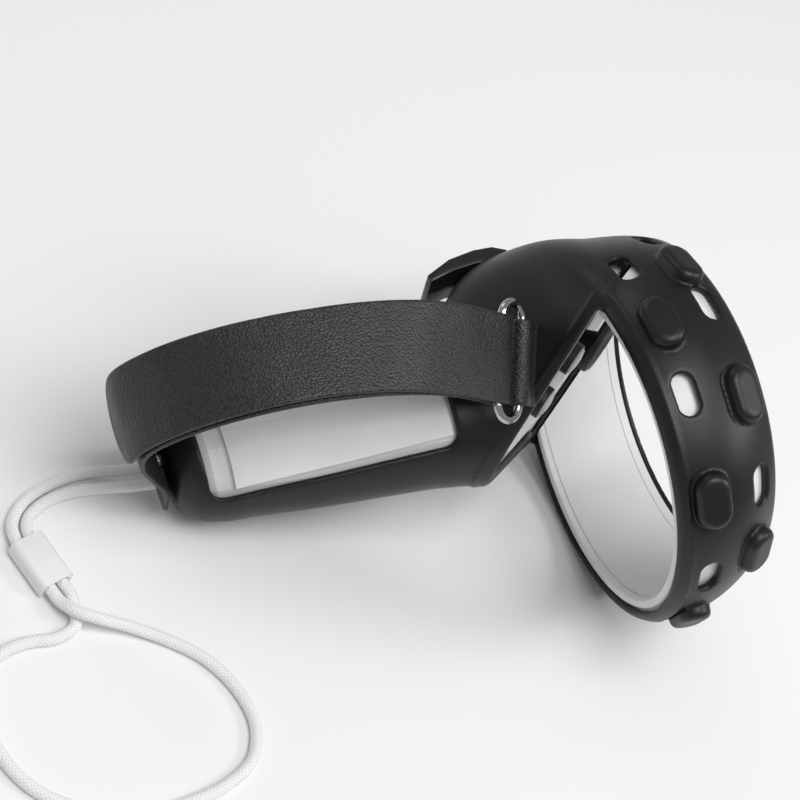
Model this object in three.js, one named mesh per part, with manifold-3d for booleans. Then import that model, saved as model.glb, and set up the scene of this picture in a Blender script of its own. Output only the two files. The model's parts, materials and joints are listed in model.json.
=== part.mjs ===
// VR motion controller for the left hand, in a silicone cover with a knuckle strap and a wrist lanyard.
// Everything is modelled in the design frame and then laid down on its side by the outermost group.
// Design frame: origin at the tracking ring's centre, +Z along the ring's axis away from the handle,
// +Y to the front (the index finger's side), +X to the inner side (away from the back of the hand).
import * as THREE from "three";
import { mergeVertices } from "three/addons/utils/BufferGeometryUtils.js";
import { ParametricGeometry } from "three/addons/geometries/ParametricGeometry.js";
import Module from "manifold-3d";

const wasm = await Module();
wasm.setup();

// ---- Driving dimensions, in millimetres and degrees ----

const GAP = 0.3; // between neighbouring pieces
const SILICONE = 2; // wall of the cover
const SHELL = 1.6; // wall of the plastic shells

// Tracking ring: the band's domed outside radius is BAND_MID - BAND_TILT z - BAND_DOME z^2
const BAND_LOW = -14;
const BAND_TOP = 15.2;
const BAND_MID = 47.7;
const BAND_TILT = 0.086;
const BAND_DOME = 0.0184;
const BAND_SHEAR = 0.142; // the ring's far rim sits further forward than its near rim
const RING_INNER = 40;
const RING_TOP = 13.5; // far end of the plastic ring, inside the cover's lip
const RING_SIDES = 36;
const RIM_LIP = 1.5; // the cover turns in under the ring by this thickness, to this radius
const RIM_LIP_RADIUS = 42.8;
const RIM_RECESS = 0.8; // of the ring's near rim inside that lip
const SEAT_LOW = BAND_LOW + RIM_LIP + GAP; // the ring's flange rests on the cover's lip here
const RING_WALL = 1.3;
const RING_FLANGE = 1.4;

// Face plane: where the thumb works. It is tilted about X and passes FACE_ORIGIN.
const FACE_TILT = 54.4;
const FACE_ORIGIN = [0, 19.7, -14.1];
const PLATE_DEPTH = 3.5; // the plate's top under the rim
const PLATE_THICK = 1.8;
const PLATE_HALF = [22, 28.5];
const PLATE_CENTRE_Y = 1.5;
const PLATE_SQUARENESS = 2.6;
const SURROUND_BOTTOM = -7; // underside of the surround, from the rim
const FACE_LIP = 1.3; // the cover turns in over the surround by this thickness, and this far
const FACE_LIP_REACH = 2.4;

// Head and handle: outside of the cover as [z, centre y, half width, half depth]
const BODY = [
  [13, 4, 38, 43.5],
  [0, 4.5, 42, 47],
  [-14, 5, 43, 49.5],
  [-22, 16, 31, 39],
  [-28, 20.5, 25.3, 33.5],
  [-36, 22.5, 20.3, 27.5],
  [-44, 20.7, 18.5, 21.3],
  [-52, 19.5, 17.5, 18],
  [-66, 21, 17, 17.5],
  [-82, 22.5, 16.5, 17],
  [-98, 24.5, 16, 16.5],
  [-108, 25.5, 15.5, 16],
  [-114, 26.2, 13.5, 14],
  [-117, 26.6, 10.5, 11],
  [-118, 26.7, 8.5, 9],
];
const BODY_SIDES = 24;
const BUTT = -118;

// Bumps and windows of the band, in two rows that alternate: [angle about the ring's axis, z].
// 90 is the front of the ring and 270 its back.
const BUMPS = [
  [171.5, -5.3],
  [223.5, -6],
  [277, -6],
  [329, -6],
  [381, -6],
  [154, 7.8],
  [199.5, 7.5],
  [251, 7.5],
  [303, 7.5],
  [355, 7.5],
];
const WINDOWS = [
  [146.5, -4.5],
  [192.8, -6.5],
  [252, -6],
  [303, -6],
  [355, -6],
  [131.5, 8.6],
  [169.5, 8.8],
  [228, 8.5],
  [277, 8.5],
  [329, 8.5],
  [381, 8.5],
];
const BUMP_SIZE = [14, 8.5, 2.8];
const WINDOW_SIZE = [10, 5];

// Thumbstick and buttons, as [x, y] on the face plane
const STICK_AT = [5.5, 16.5];
const STICK_CAP = 7.7;
const STICK_WELL = 8.8;
const STICK_PIVOT = -11.5; // height of the gimbal's centre
const BUTTON_UPPER_AT = [-12, -0.5];
const BUTTON_LOWER_AT = [-7, -12.5];
const MENU_AT = [9.5, -7];
const BUTTON_RADIUS = 4.3;
const BUTTON_TOP = 1.6;
const BUTTON_LOW = -6.8;
const MENU_TOP = -2.9;
const MENU_RADIUS = 3;

// Index trigger: its pin as [y, z], and its width
const TRIGGER_PIN = [46, -19.5];
const TRIGGER_WIDTH = 15.5;
const TRIGGER_SLOT = [-41.8, -16.2]; // z range of the opening

// Grip button, on the handle's front turned towards the inner side
const GRIP_TURN = -35;
const GRIP_CENTRE_Y = 21;
const GRIP_PIN = [30, -53.5];
const GRIP_WIDTH = 10;
const GRIP_SLOT = [-78, -49.5];

// Battery: one AA cell along the handle, behind a door on the palm side
const CELL = { radius: 7.25, length: 50.5, x: -3.6 };
const HANDLE_LEAN = 0.108; // y per z along the handle
const HANDLE_MIDDLE = -77;
const DOOR = { low: -103.8, high: -50.8, halfAngle: 42 };
const DOOR_TRAVEL = 5;

// Screws that hold the two halves of the handle's shell together, as [y, z]
const SHELL_SCREWS = [[32.2, -45.8], [10.5, -49]];
const SCREW_REACH = 7.8;

// Strap: its inner layer's middle from the butt to the ring, as the hand holds it open
const STRAP_ROUTE = [
  [3, 26.6, -119.6],
  [-7, 26.6, -119.7],
  [-15, 27, -122.4],
  [-24, 27.3, -125],
  [-34, 26.6, -123.6],
  [-42, 25, -117],
  [-48, 23.2, -107],
  [-51.3, 21.5, -96],
  [-52, 20.2, -85],
  [-50.8, 19, -73],
  [-47.6, 18, -62],
  [-41, 18, -52.3],
  [-33.3, 18.4, -44.8],
];
const STRAP_WIDTH = 21;
const STRAP_THICK = 1.3;
const LAYER_SPACING = 3.1;
const TAIL_START = 3; // the outer layer ends over this station of the route

// Strap ring: it joins the strap to the anchor, with one bar in each
const RING_CENTRE = [-25.8, 16.8, -32.8];
const RING_WIRE = 1.1; // radius
const BAR_SPACING = 7.2;
const SLEEVE = RING_WIRE + GAP; // inside radius of leather folded round a bar

// At rest it lies on its inner side, on the band's bumps and the butt's edge. Both in the design frame:
const DOWN = [0.943, -0.085, -0.321];
const AHEAD = [0.9, 0.352, 0.257]; // this direction, laid level, is the finished part's +Y

// Wrist lanyard: two strands leave a hole in the butt, which is off-centre, and go round a pin inside
const CORD_RADIUS = 1.45;
const LANYARD_X = 5.8;
const LANYARD_PIN = { z: -111.6, radius: 1, low: 18, high: 33.8 };

// The lanyard's route in the finished part's frame, chosen by hand: from the pin through the slider,
// round the wrist loop, over itself, and back through the slider to the pin.
const CORD_ROUTE = [
  [-55.2, -37.2, 8.1],
  [-58.2, -40.9, 6.5],
  [-63.6, -45.8, 3.9],
  [-70.2, -51.2, 1.7],
  [-75.2, -60, 1.5],
  [-77.2, -69, 1.5],
  [-75.6, -75.6, 2],
  [-72.2, -78.9, 2.7],
  [-65.2, -81.5, 2.7],
  [-59.1, -83.9, 2.7],
  [-55.9, -85.1, 2.8],
  [-51.4, -85.9, 4.5],
  [-46.5, -84.2, 4.7],
  [-39.5, -79.8, 2.6],
  [-31, -76.2, 1.5],
  [-21, -74.3, 1.5],
  [-11, -75.9, 1.5],
  [-2.8, -80.8, 1.5],
  [1, -88.6, 1.5],
  [-0.6, -97.6, 1.5],
  [-5.6, -107, 1.5],
  [-13.4, -116, 1.5],
  [-24, -123, 1.5],
  [-36, -125.4, 1.5],
  [-47.5, -122, 1.5],
  [-56, -114.5, 1.5],
  [-58.6, -105.5, 1.5],
  [-55.5, -98, 1.5],
  [-50.8, -92.4, 1.5],
  [-49.6, -86.9, 1.5],
  [-54.7, -82, 2.6],
  [-57.9, -80.8, 2.7],
  [-64, -78.5, 2.7],
  [-71, -75.8, 2.7],
  [-73.6, -72, 1.8],
  [-73.4, -65.5, 1.5],
  [-70.4, -58.8, 1.5],
  [-65.6, -53, 1.8],
  [-60, -48.6, 3.8],
  [-54.6, -43.8, 6.1],
  [-51.5, -40, 7.7],
];
const SLIDER_AT = [-64.6, -80, 2.7];
const SLIDER_RUN = [0.934, -0.356, 0]; // along its hole, towards the wrist loop
const SLIDER_SIZE = [8.8, 5.2, 13];
const SLIDER_HOLE = [6.8, 3.6];

// Rivet that holds the strap's end to the butt
const RIVET_AT = [-3, 26.6];

// ---- Tools ----

// A closed geometry as a manifold-3d solid.
function solid(geometry) {
  const bare = new THREE.BufferGeometry();
  bare.setAttribute("position", geometry.getAttribute("position"));
  if (geometry.index) bare.setIndex(geometry.index);
  const merged = mergeVertices(bare, 1e-4);
  const old = merged.index.array;
  const triangles = [];
  for (let i = 0; i < old.length; i += 3) {
    const [a, b, c] = [old[i], old[i + 1], old[i + 2]];
    if (a !== b && b !== c && c !== a) triangles.push(a, b, c);
  }
  return new wasm.Manifold(
    new wasm.Mesh({
      numProp: 3,
      vertProperties: merged.attributes.position.array,
      triVerts: new Uint32Array(triangles),
    }),
  );
}

// A manifold-3d solid as a geometry.
function geometryOf(body) {
  const mesh = body.getMesh();
  const count = mesh.numVert;
  const positions = new Float32Array(count * 3);
  for (let i = 0; i < count; i++) {
    const start = i * mesh.numProp;
    positions.set(mesh.vertProperties.subarray(start, start + 3), i * 3);
  }
  const indexed = new THREE.BufferGeometry();
  indexed.setAttribute("position", new THREE.BufferAttribute(positions, 3));
  indexed.setIndex(new THREE.BufferAttribute(mesh.triVerts, 1));
  const flat = indexed.toNonIndexed();
  flat.computeVertexNormals();
  return flat;
}

const radians = THREE.MathUtils.degToRad;
const material = (color, roughness, metalness = 0) =>
  new THREE.MeshStandardMaterial({ color, roughness, metalness });

const move = (x, y, z) => new THREE.Matrix4().makeTranslation(x, y, z);
const turnX = (degrees) => new THREE.Matrix4().makeRotationX(radians(degrees));
const turnY = (degrees) => new THREE.Matrix4().makeRotationY(radians(degrees));
const turnZ = (degrees) => new THREE.Matrix4().makeRotationZ(radians(degrees));

// The geometry after each matrix in turn, the last one first.
function placed(geometry, ...matrices) {
  const whole = matrices.reduce((a, b) => a.clone().multiply(b), new THREE.Matrix4());
  return geometry.clone().applyMatrix4(whole);
}

// A box between two corners.
function box(low, high) {
  const size = high.map((value, i) => value - low[i]);
  const geometry = new THREE.BoxGeometry(...size);
  return geometry.translate(...low.map((value, i) => value + size[i] / 2));
}

// A cylinder standing on z = low.
function cylinder(radius, low, high, sides = 20) {
  const geometry = new THREE.CylinderGeometry(radius, radius, high - low, sides);
  return geometry.rotateX(Math.PI / 2).translate(0, 0, (low + high) / 2);
}

// A solid of revolution about Z, from [radius, z] points in anticlockwise order.
function lathe(points, sides) {
  const outline = points.map(([r, z]) => new THREE.Vector2(r, z));
  return new THREE.LatheGeometry(outline, sides).rotateX(Math.PI / 2);
}

// A short length of pipe about Z.
function tubeRing(inner, outer, low, high, sides) {
  return lathe([[inner, low], [outer, low], [outer, high], [inner, high], [inner, low]], sides);
}

// A flat outline as a plate from z = low to z = high.
function plate(shape, low, high, curveSegments = 10) {
  const options = { depth: high - low, bevelEnabled: false, curveSegments };
  return new THREE.ExtrudeGeometry(shape, options).translate(0, 0, low);
}

// A rounded bar seen from above, its length along x.
function pill(length, width) {
  const radius = width / 2;
  const reach = length / 2 - radius;
  const shape = new THREE.Shape();
  shape.absarc(reach, 0, radius, -Math.PI / 2, Math.PI / 2);
  shape.absarc(-reach, 0, radius, Math.PI / 2, Math.PI * 1.5);
  return shape;
}

// An outline in the YZ plane given as [y, z] points, made thick along X.
function sidePlate(points, width) {
  const shape = new THREE.Shape(points.map(([y, z]) => new THREE.Vector2(y, z)));
  const onItsSide = new THREE.Matrix4().set(
    0, 0, 1, 0,
    1, 0, 0, 0,
    0, 1, 0, 0,
    0, 0, 0, 1,
  );
  return placed(plate(shape, -width / 2, width / 2), onItsSide);
}

// A tube of the given radius along a curve.
function tube(curve, radius, steps, sides = 8) {
  const section = new THREE.Shape();
  const corners = [];
  for (let i = 0; i < sides; i++) {
    const angle = (i * 2 * Math.PI) / sides;
    corners.push(new THREE.Vector2(radius * Math.cos(angle), radius * Math.sin(angle)));
  }
  section.setFromPoints(corners);
  return new THREE.ExtrudeGeometry(section, { steps, extrudePath: curve });
}

// ---- Shared shapes ----

const bandRadius = (z) => BAND_MID - BAND_TILT * z - BAND_DOME * z * z;
const bandSlope = (z) => -BAND_TILT - 2 * BAND_DOME * z;
const ringShear = new THREE.Matrix4().set(
  1, 0, 0, 0,
  0, 1, BAND_SHEAR, -BAND_SHEAR * BAND_LOW,
  0, 0, 1, 0,
  0, 0, 0, 1,
);

// Outer points of the band's profile between two heights, drawn in by an inset.
function bandProfile(low, high, inset, steps) {
  const points = [];
  for (let i = 0; i <= steps; i++) {
    const z = low + ((high - low) * i) / steps;
    points.push([bandRadius(z) - inset, z]);
  }
  return points;
}

// A solid of revolution that follows the ring's shear.
const ringSolid = (points) => solid(placed(lathe([...points, points[0]], RING_SIDES), ringShear));

// The body's section at height z, drawn in by an inset.
function bodySection(z, inset) {
  let i = 0;
  while (i < BODY.length - 2 && z < BODY[i + 1][0]) i++;
  const [upper, lower] = [BODY[i], BODY[i + 1]];
  const share = (upper[0] - z) / (upper[0] - lower[0]);
  const [y, halfWidth, halfDepth] = [1, 2, 3].map((k) => upper[k] + (lower[k] - upper[k]) * share);
  return { y, halfWidth: halfWidth - inset, halfDepth: halfDepth - inset };
}

// Head and handle as one closed loft, drawn in by an inset, up to a height.
function bodyLoft(inset, top = BODY[0][0]) {
  const heights = [top, ...BODY.map((row) => row[0]).filter((z) => z < top)];
  const ends = heights.length + 1;
  const point = (u, v, target) => {
    const row = Math.round(v * ends);
    const angle = u * 2 * Math.PI;
    if (row === 0) return target.set(0, bodySection(top, 0).y, top);
    if (row === ends) return target.set(0, bodySection(BUTT, 0).y, BUTT + inset);
    const lift = inset * Math.max(0, (row - ends + 3) / 2);
    const z = heights[row - 1];
    const { y, halfWidth, halfDepth } = bodySection(z, inset);
    return target.set(halfWidth * Math.cos(angle), y + halfDepth * Math.sin(angle), z + lift);
  };
  const geometry = new ParametricGeometry(point, BODY_SIDES, ends);
  return outward(geometry);
}

// A closed loft as a solid, its faces turned to point out.
function outward(geometry) {
  let body = solid(geometry);
  if (body.volume() < 0) {
    const index = geometry.index.array;
    for (let i = 0; i < index.length; i += 3) [index[i], index[i + 1]] = [index[i + 1], index[i]];
    body = solid(geometry);
  }
  return body;
}

const faceFrame = move(...FACE_ORIGIN).multiply(turnX(FACE_TILT));
const onFace = (geometry) => placed(geometry, faceFrame);
const BIG = 200;
// All space from one height to another over the face plane.
const faceSlab = (low, high) => solid(onFace(box([-BIG, -BIG, low], [BIG, BIG, high])));
const aboveFace = (height) => faceSlab(height, BIG);
const belowFace = (height) => faceSlab(-BIG, height);

// The plate's outline, drawn in by an inset.
function plateOutline(inset) {
  const shape = new THREE.Shape();
  const sides = 40;
  const power = 2 / PLATE_SQUARENESS;
  for (let i = 0; i < sides; i++) {
    const angle = (i * 2 * Math.PI) / sides;
    const [c, s] = [Math.cos(angle), Math.sin(angle)];
    const x = (PLATE_HALF[0] - inset) * Math.sign(c) * Math.abs(c) ** power;
    const y = PLATE_CENTRE_Y + (PLATE_HALF[1] - inset) * Math.sign(s) * Math.abs(s) ** power;
    if (i === 0) shape.moveTo(x, y);
    else shape.lineTo(x, y);
  }
  shape.closePath();
  return shape;
}

// The grip button's own frame: the design frame turned about the handle.
const gripFrame = move(0, GRIP_CENTRE_Y, 0)
  .multiply(turnZ(GRIP_TURN))
  .multiply(move(0, -GRIP_CENTRE_Y, 0));

// The openings that the trigger and the grip button work in.
const triggerSlot = solid(
  box([-TRIGGER_WIDTH / 2 - 0.8, 34, TRIGGER_SLOT[0]], [TRIGGER_WIDTH / 2 + 0.8, 64, TRIGGER_SLOT[1]]),
);
const gripSlot = solid(
  placed(box([-GRIP_WIDTH / 2 - 0.8, 31, GRIP_SLOT[0]], [GRIP_WIDTH / 2 + 0.8, 50, GRIP_SLOT[1]]), gripFrame),
);

// The hole in the butt that the lanyard comes out of.
const lanyardHole = solid(box([LANYARD_X - 1.9, 22.2, BUTT - 3], [LANYARD_X + 1.9, 31.4, -112]));

const rivetHole = solid(placed(cylinder(1.6, BUTT - 4, BUTT + 6, 16), move(...RIVET_AT, 0)));

// A wedge about the handle's axis on the palm side, for the door and the openings under and round it.
function palmWedge(low, high, halfAngle) {
  const y = bodySection((low + high) / 2, 0).y;
  const shape = new THREE.Shape();
  shape.moveTo(4, y);
  const reach = 40;
  shape.lineTo(-reach * Math.cos(radians(halfAngle)), y + reach * Math.sin(radians(halfAngle)));
  shape.lineTo(-reach * Math.cos(radians(halfAngle)), y - reach * Math.sin(radians(halfAngle)));
  shape.closePath();
  return solid(plate(shape, low, high));
}

const controller = new THREE.Group();
function add(name, shape, look, parent = controller) {
  const geometry = shape.isBufferGeometry ? shape : geometryOf(shape);
  const mesh = new THREE.Mesh(geometry, look);
  mesh.name = name;
  parent.add(mesh);
  return mesh;
}

const looks = {
  silicone: material(0x17181a, 0.6),
  white: material(0xe6e6e4, 0.42),
  black: material(0x121214, 0.38),
  leather: material(0x2a2a2c, 0.62),
  hook: material(0x141414, 0.95),
  steel: material(0xb9bcc0, 0.22, 1),
  board: material(0x1f4d33, 0.5),
  copper: material(0xb87333, 0.4, 1),
  cell: material(0x3d4b57, 0.4, 0.3),
  cord: material(0xe9e7e3, 0.85),
  slider: material(0xeceae6, 0.5),
};

// ---- Silicone cover ----

function pillFeature([angle, z], geometry, lift) {
  const lean = THREE.MathUtils.radToDeg(Math.atan(bandSlope(z)));
  return solid(
    placed(
      geometry,
      ringShear,
      turnZ(angle),
      move(bandRadius(z) + lift, 0, z),
      turnY(90 - lean),
      turnZ(90),
    ),
  );
}

function siliconeCover() {
  const lip = [[RING_INNER + 0.2, BAND_TOP], [RING_INNER + 0.2, BAND_LOW]];
  const band = ringSolid([...bandProfile(BAND_LOW, BAND_TOP, 0, 6), ...lip]);
  let cover = bodyLoft(0).subtract(aboveFace(0)).add(band);
  const [length, width, height] = BUMP_SIZE;
  const edge = 1.5;
  const bumpOptions = {
    depth: height - edge + 1,
    bevelThickness: edge,
    bevelSize: edge,
    bevelOffset: -edge,
    bevelSegments: 1,
    curveSegments: 3,
  };
  const bump = new THREE.ExtrudeGeometry(pill(length, width), bumpOptions);
  for (const place of BUMPS) cover = cover.add(pillFeature(place, bump, -1));
  const ringSeat = ringSolid([
    ...bandProfile(BAND_LOW + RIM_LIP, RING_TOP + GAP, SILICONE, 4),
    [RING_INNER + 0.2, RING_TOP + GAP],
    [RING_INNER + 0.2, BAND_TOP + 1],
    [20, BAND_TOP + 1],
    [20, BAND_LOW - 1],
    [RIM_LIP_RADIUS, BAND_LOW - 1],
    [RIM_LIP_RADIUS, BAND_LOW + RIM_LIP],
  ]);
  const room = ringSeat.add(bodyLoft(SILICONE, 12)).subtract(faceSlab(-FACE_LIP, 0));
  cover = cover.subtract(room).subtract(bodyLoft(SILICONE + FACE_LIP_REACH, 12));
  const window = plate(pill(...WINDOW_SIZE), -6, 6, 4);
  for (const place of WINDOWS) cover = cover.subtract(pillFeature(place, window, 0));
  const doorWindow = palmWedge(DOOR.low - DOOR_TRAVEL - 1, DOOR.high + 1, DOOR.halfAngle + 4);
  for (const opening of [triggerSlot, gripSlot, doorWindow, lanyardHole, rivetHole]) {
    cover = cover.subtract(opening);
  }
  return cover;
}

// ---- Plastic shells ----

function ringInnerShell() {
  const foot = bandRadius(SEAT_LOW) - SILICONE - GAP;
  const spool = ringSolid([
    [RING_INNER, BAND_LOW + RIM_RECESS],
    [RIM_LIP_RADIUS - GAP, BAND_LOW + RIM_RECESS],
    [RIM_LIP_RADIUS - GAP, SEAT_LOW],
    [foot, SEAT_LOW],
    [foot, SEAT_LOW + RING_FLANGE],
    [RING_INNER + RING_WALL, SEAT_LOW + RING_FLANGE],
    [RING_INNER + RING_WALL, RING_TOP - 3],
    [bandRadius(RING_TOP - 3) - SILICONE - GAP, RING_TOP - 3],
    [bandRadius(RING_TOP) - SILICONE - GAP, RING_TOP],
    [RING_INNER, RING_TOP],
  ]);
  return spool.subtract(belowFace(GAP));
}

function ringOuterShell() {
  const [low, high] = [SEAT_LOW + RING_FLANGE + GAP, RING_TOP - 3 - GAP];
  const outside = bandProfile(low, high, SILICONE + GAP, 6);
  const inside = bandProfile(low, high, SILICONE + GAP + RING_WALL, 4).reverse();
  return ringSolid([...outside, ...inside]).subtract(belowFace(GAP));
}

// The flexible strip of tracking lights inside the ring, with its light-emitting diodes on it.
function ledStrip() {
  const radius = RING_INNER + 1.8;
  const strip = ringSolid([[radius, -7], [radius + 0.4, -7], [radius + 0.4, 6], [radius, 6]]);
  let whole = strip.subtract(belowFace(2));
  const diode = box([-0.1, -1.2, -1.6], [0.9, 1.2, 1.6]);
  for (let k = 0; k < 9; k++) {
    const place = placed(diode, ringShear, turnZ(158 + k * 28), move(radius + 0.3, 0, k % 2 ? 3 : -3));
    whole = whole.add(solid(place));
  }
  return whole;
}

function faceSurround() {
  const outline = bodyLoft(SILICONE + GAP).intersect(faceSlab(SURROUND_BOTTOM, -FACE_LIP - GAP));
  const recess = solid(onFace(plate(plateOutline(-GAP), -PLATE_DEPTH - PLATE_THICK - GAP, 5)));
  const mouth = solid(onFace(plate(plateOutline(2), SURROUND_BOTTOM - 5, 5)));
  return outline.subtract(recess).subtract(mouth).subtract(triggerSlot);
}

function facePlate() {
  const [low, high] = [-PLATE_DEPTH - PLATE_THICK, -PLATE_DEPTH];
  const holes = [
    [STICK_AT, STICK_WELL],
    [BUTTON_UPPER_AT, BUTTON_RADIUS + GAP],
    [BUTTON_LOWER_AT, BUTTON_RADIUS + GAP],
    [MENU_AT, MENU_RADIUS + GAP],
  ];
  let body = solid(plate(plateOutline(0), low, high));
  for (const [[x, y], radius] of holes) {
    body = body.subtract(solid(cylinder(radius, low - 1, high + 1, 24).translate(x, y, 0)));
  }
  return solid(onFace(geometryOf(body)));
}

// Both halves of the handle's shell, before they are parted.
function handleShell() {
  const outside = bodyLoft(SILICONE + GAP, 12);
  const hollow = bodyLoft(SILICONE + GAP + SHELL, 14);
  const cellMouth = palmWedge(DOOR.low + 1.2, DOOR.high - 0.6, 33);
  return outside
    .subtract(hollow)
    .subtract(aboveFace(SURROUND_BOTTOM - GAP))
    .subtract(triggerSlot)
    .subtract(gripSlot)
    .subtract(cellMouth)
    .subtract(lanyardHole)
    .subtract(rivetHole);
}

// Everything to one side of the handle's parting plane.
function halfSpace(side) {
  const far = box([GAP / 2, -BIG, -BIG], [BIG, BIG, BIG]);
  return solid(side > 0 ? far : far.rotateZ(Math.PI));
}

// ---- Strap hardware ----

// The strap ring's frame: x runs from the strap's bar to the anchor's bar, y along the bars, z outwards.
const ringAcross = new THREE.Vector3(-0.35, 0.88, 0.33).normalize();
const ringAlong = new THREE.Vector3(0.58, -0.07, 0.81).projectOnPlane(ringAcross).normalize();
const ringOut = new THREE.Vector3().crossVectors(ringAlong, ringAcross);
const ringFrame = move(...RING_CENTRE).multiply(
  new THREE.Matrix4().makeBasis(ringAlong, ringAcross, ringOut),
);
const onRing = (geometry) => placed(geometry, ringFrame);

function strapRing() {
  const points = [];
  const [reach, half] = [BAR_SPACING / 2, STRAP_WIDTH / 2 - 0.2];
  const corners = 6;
  for (const side of [1, -1]) {
    for (let i = 0; i <= corners; i++) {
      const angle = (side > 0 ? 0 : Math.PI) + (i * Math.PI) / corners;
      const x = reach * Math.cos(angle) - reach;
      points.push(new THREE.Vector3(x, side * half + reach * Math.sin(angle), 0));
    }
  }
  const loop = new THREE.CatmullRomCurve3(points, true, "centripetal");
  return onRing(new THREE.TubeGeometry(loop, 48, RING_WIRE, 6, true));
}

// The anchor: leather folded round the ring's inner bar, its two ends closed together into a tab.
function anchorOutline(extra) {
  const radius = SLEEVE + STRAP_THICK + extra;
  const half = STRAP_THICK + extra;
  const shape = new THREE.Shape();
  shape.absarc(0, 0, radius, Math.PI * 0.35, Math.PI * 1.65);
  shape.lineTo(4.2 - extra, -half);
  shape.lineTo(3.6 - extra, -9);
  shape.lineTo(6.2 + extra, -9);
  shape.lineTo(6.8 + extra, half - 0.6);
  shape.lineTo(6 + extra, half);
  shape.lineTo(2, half);
  shape.closePath();
  return shape;
}

function anchorBody(extra) {
  const width = STRAP_WIDTH - 0.6 + 2 * extra;
  const block = plate(anchorOutline(extra), -width / 2, width / 2, 8);
  return solid(onRing(placed(block, turnX(-90))));
}

function anchorLoop() {
  const bore = solid(onRing(placed(cylinder(SLEEVE, -20, 20, 16), turnX(90))));
  return anchorBody(0).subtract(bore).subtract(bodyLoft(SILICONE - 0.2));
}

// A flat strip through stations of { at, across, thick }, with square ends.
function strip(stations, width) {
  const ends = stations.length + 1;
  const corners = [[1, 1], [-1, 1], [-1, -1], [1, -1]];
  const runs = stations.map((station, i) => {
    const before = stations[Math.max(i - 1, 0)].at;
    const after = stations[Math.min(i + 1, stations.length - 1)].at;
    return new THREE.Vector3().subVectors(after, before).normalize();
  });
  const point = (u, v, target) => {
    const row = Math.round(v * ends);
    const i = THREE.MathUtils.clamp(row - 1, 0, stations.length - 1);
    target.copy(stations[i].at);
    if (row === 0 || row === ends) return target;
    const across = stations[i].across.clone().projectOnPlane(runs[i]).normalize();
    const up = new THREE.Vector3().crossVectors(runs[i], across);
    const [a, b] = corners[Math.round(u * 4) % 4];
    return target.addScaledVector(across, (a * width) / 2).addScaledVector(up, (b * stations[i].thick) / 2);
  };
  return outward(new ParametricGeometry(point, 4, ends));
}

// Stations of the inner layer, and of the outer layer above it.
function strapStations() {
  const points = STRAP_ROUTE.map((p) => new THREE.Vector3(...p));
  const last = points.length - 1;
  const inner = [];
  const outer = [];
  points.forEach((at, i) => {
    const run = new THREE.Vector3()
      .subVectors(points[Math.min(i + 1, last)], points[Math.max(i - 1, 0)])
      .normalize();
    const share = THREE.MathUtils.smoothstep(i, last - 5, last);
    const across = new THREE.Vector3(0, 1, 0).lerp(ringAcross, share).projectOnPlane(run).normalize();
    const out = new THREE.Vector3().crossVectors(run, across);
    const spacing = i === last ? LAYER_SPACING + 0.6 : LAYER_SPACING;
    inner.push({ at, across, thick: STRAP_THICK });
    const above = at.clone().addScaledVector(out, spacing);
    if (i >= TAIL_START) outer.push({ at: above, across, thick: STRAP_THICK });
  });
  return { inner, outer };
}

// The fold round the ring's outer bar, from the inner layer to the outer one.
function strapFold() {
  const radius = SLEEVE + STRAP_THICK / 2;
  const fold = [];
  for (const degrees of [-80, -40, 0, 40, 80]) {
    const angle = radians(degrees);
    const at = new THREE.Vector3(-BAR_SPACING + radius * Math.cos(angle), 0, radius * Math.sin(angle));
    fold.push({ at: at.applyMatrix4(ringFrame), across: ringAcross.clone(), thick: STRAP_THICK });
  }
  return fold;
}

function strap() {
  const { inner, outer } = strapStations();
  return strip([...inner, ...strapFold(), ...outer.reverse()], STRAP_WIDTH).subtract(rivetHole);
}

// Head outside the strap, shank, and a flange inside the handle.
function strapRivet() {
  const [head, flange, end] = [BUTT - 2.6, BUTT + 4.3, BUTT + 5];
  const profile = [[0, head - 0.9], [2.2, head - 0.8], [3.2, head], [1.3, head], [1.3, flange],
    [2.6, flange], [2.6, end], [0, end]];
  return placed(lathe(profile, 20), move(...RIVET_AT, 0));
}

// A hook or loop patch between the layers, near the tail.
function patch(height) {
  const { inner, outer } = strapStations();
  const stations = [];
  for (let i = TAIL_START + 1; i < TAIL_START + 6; i++) {
    const at = inner[i].at.clone().lerp(outer[i - TAIL_START].at, height / LAYER_SPACING);
    stations.push({ at, across: inner[i].across, thick: 0.5 });
  }
  return strip(stations, STRAP_WIDTH - 3);
}

// ---- Thumbstick, buttons and board, in the face frame ----

const atFace = (x, y, geometry) => onFace(geometry.clone().translate(x, y, 0));

function button(radius, top, low) {
  const flange = radius + 0.7;
  const under = -PLATE_DEPTH - PLATE_THICK - GAP;
  const profile = [[0, low], [flange, low], [flange, under], [radius, under], [radius, top - 0.9],
    [radius - 0.7, top - 0.3], [radius * 0.5, top], [0, top + 0.1]];
  return lathe(profile, 16);
}

function stickHousing() {
  const shellBox = solid(box([-6, -6, -14.6], [6, 6, -8.6]));
  const inside = solid(box([-5, -5, -13.8], [5, 5, -8]));
  const notch = solid(box([-5.6, -1.5, -13.1], [5.6, 1.5, -8]));
  return atFace(...STICK_AT, geometryOf(shellBox.subtract(inside).subtract(notch)));
}

function gimbalYoke() {
  let yoke = solid(tubeRing(2.95, 3.9, STICK_PIVOT - 0.8, STICK_PIVOT + 0.8, 20));
  for (const side of [-1, 1]) {
    const stub = placed(cylinder(0.6, 3.5, 5.2, 12), move(0, 0, STICK_PIVOT), turnY(90 * side));
    yoke = yoke.add(solid(stub));
  }
  return atFace(...STICK_AT, geometryOf(yoke));
}

const stickSocket = () =>
  atFace(...STICK_AT, tubeRing(1.35, 2.35, STICK_PIVOT - 1.4, STICK_PIVOT + 1.4, 16));

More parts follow.
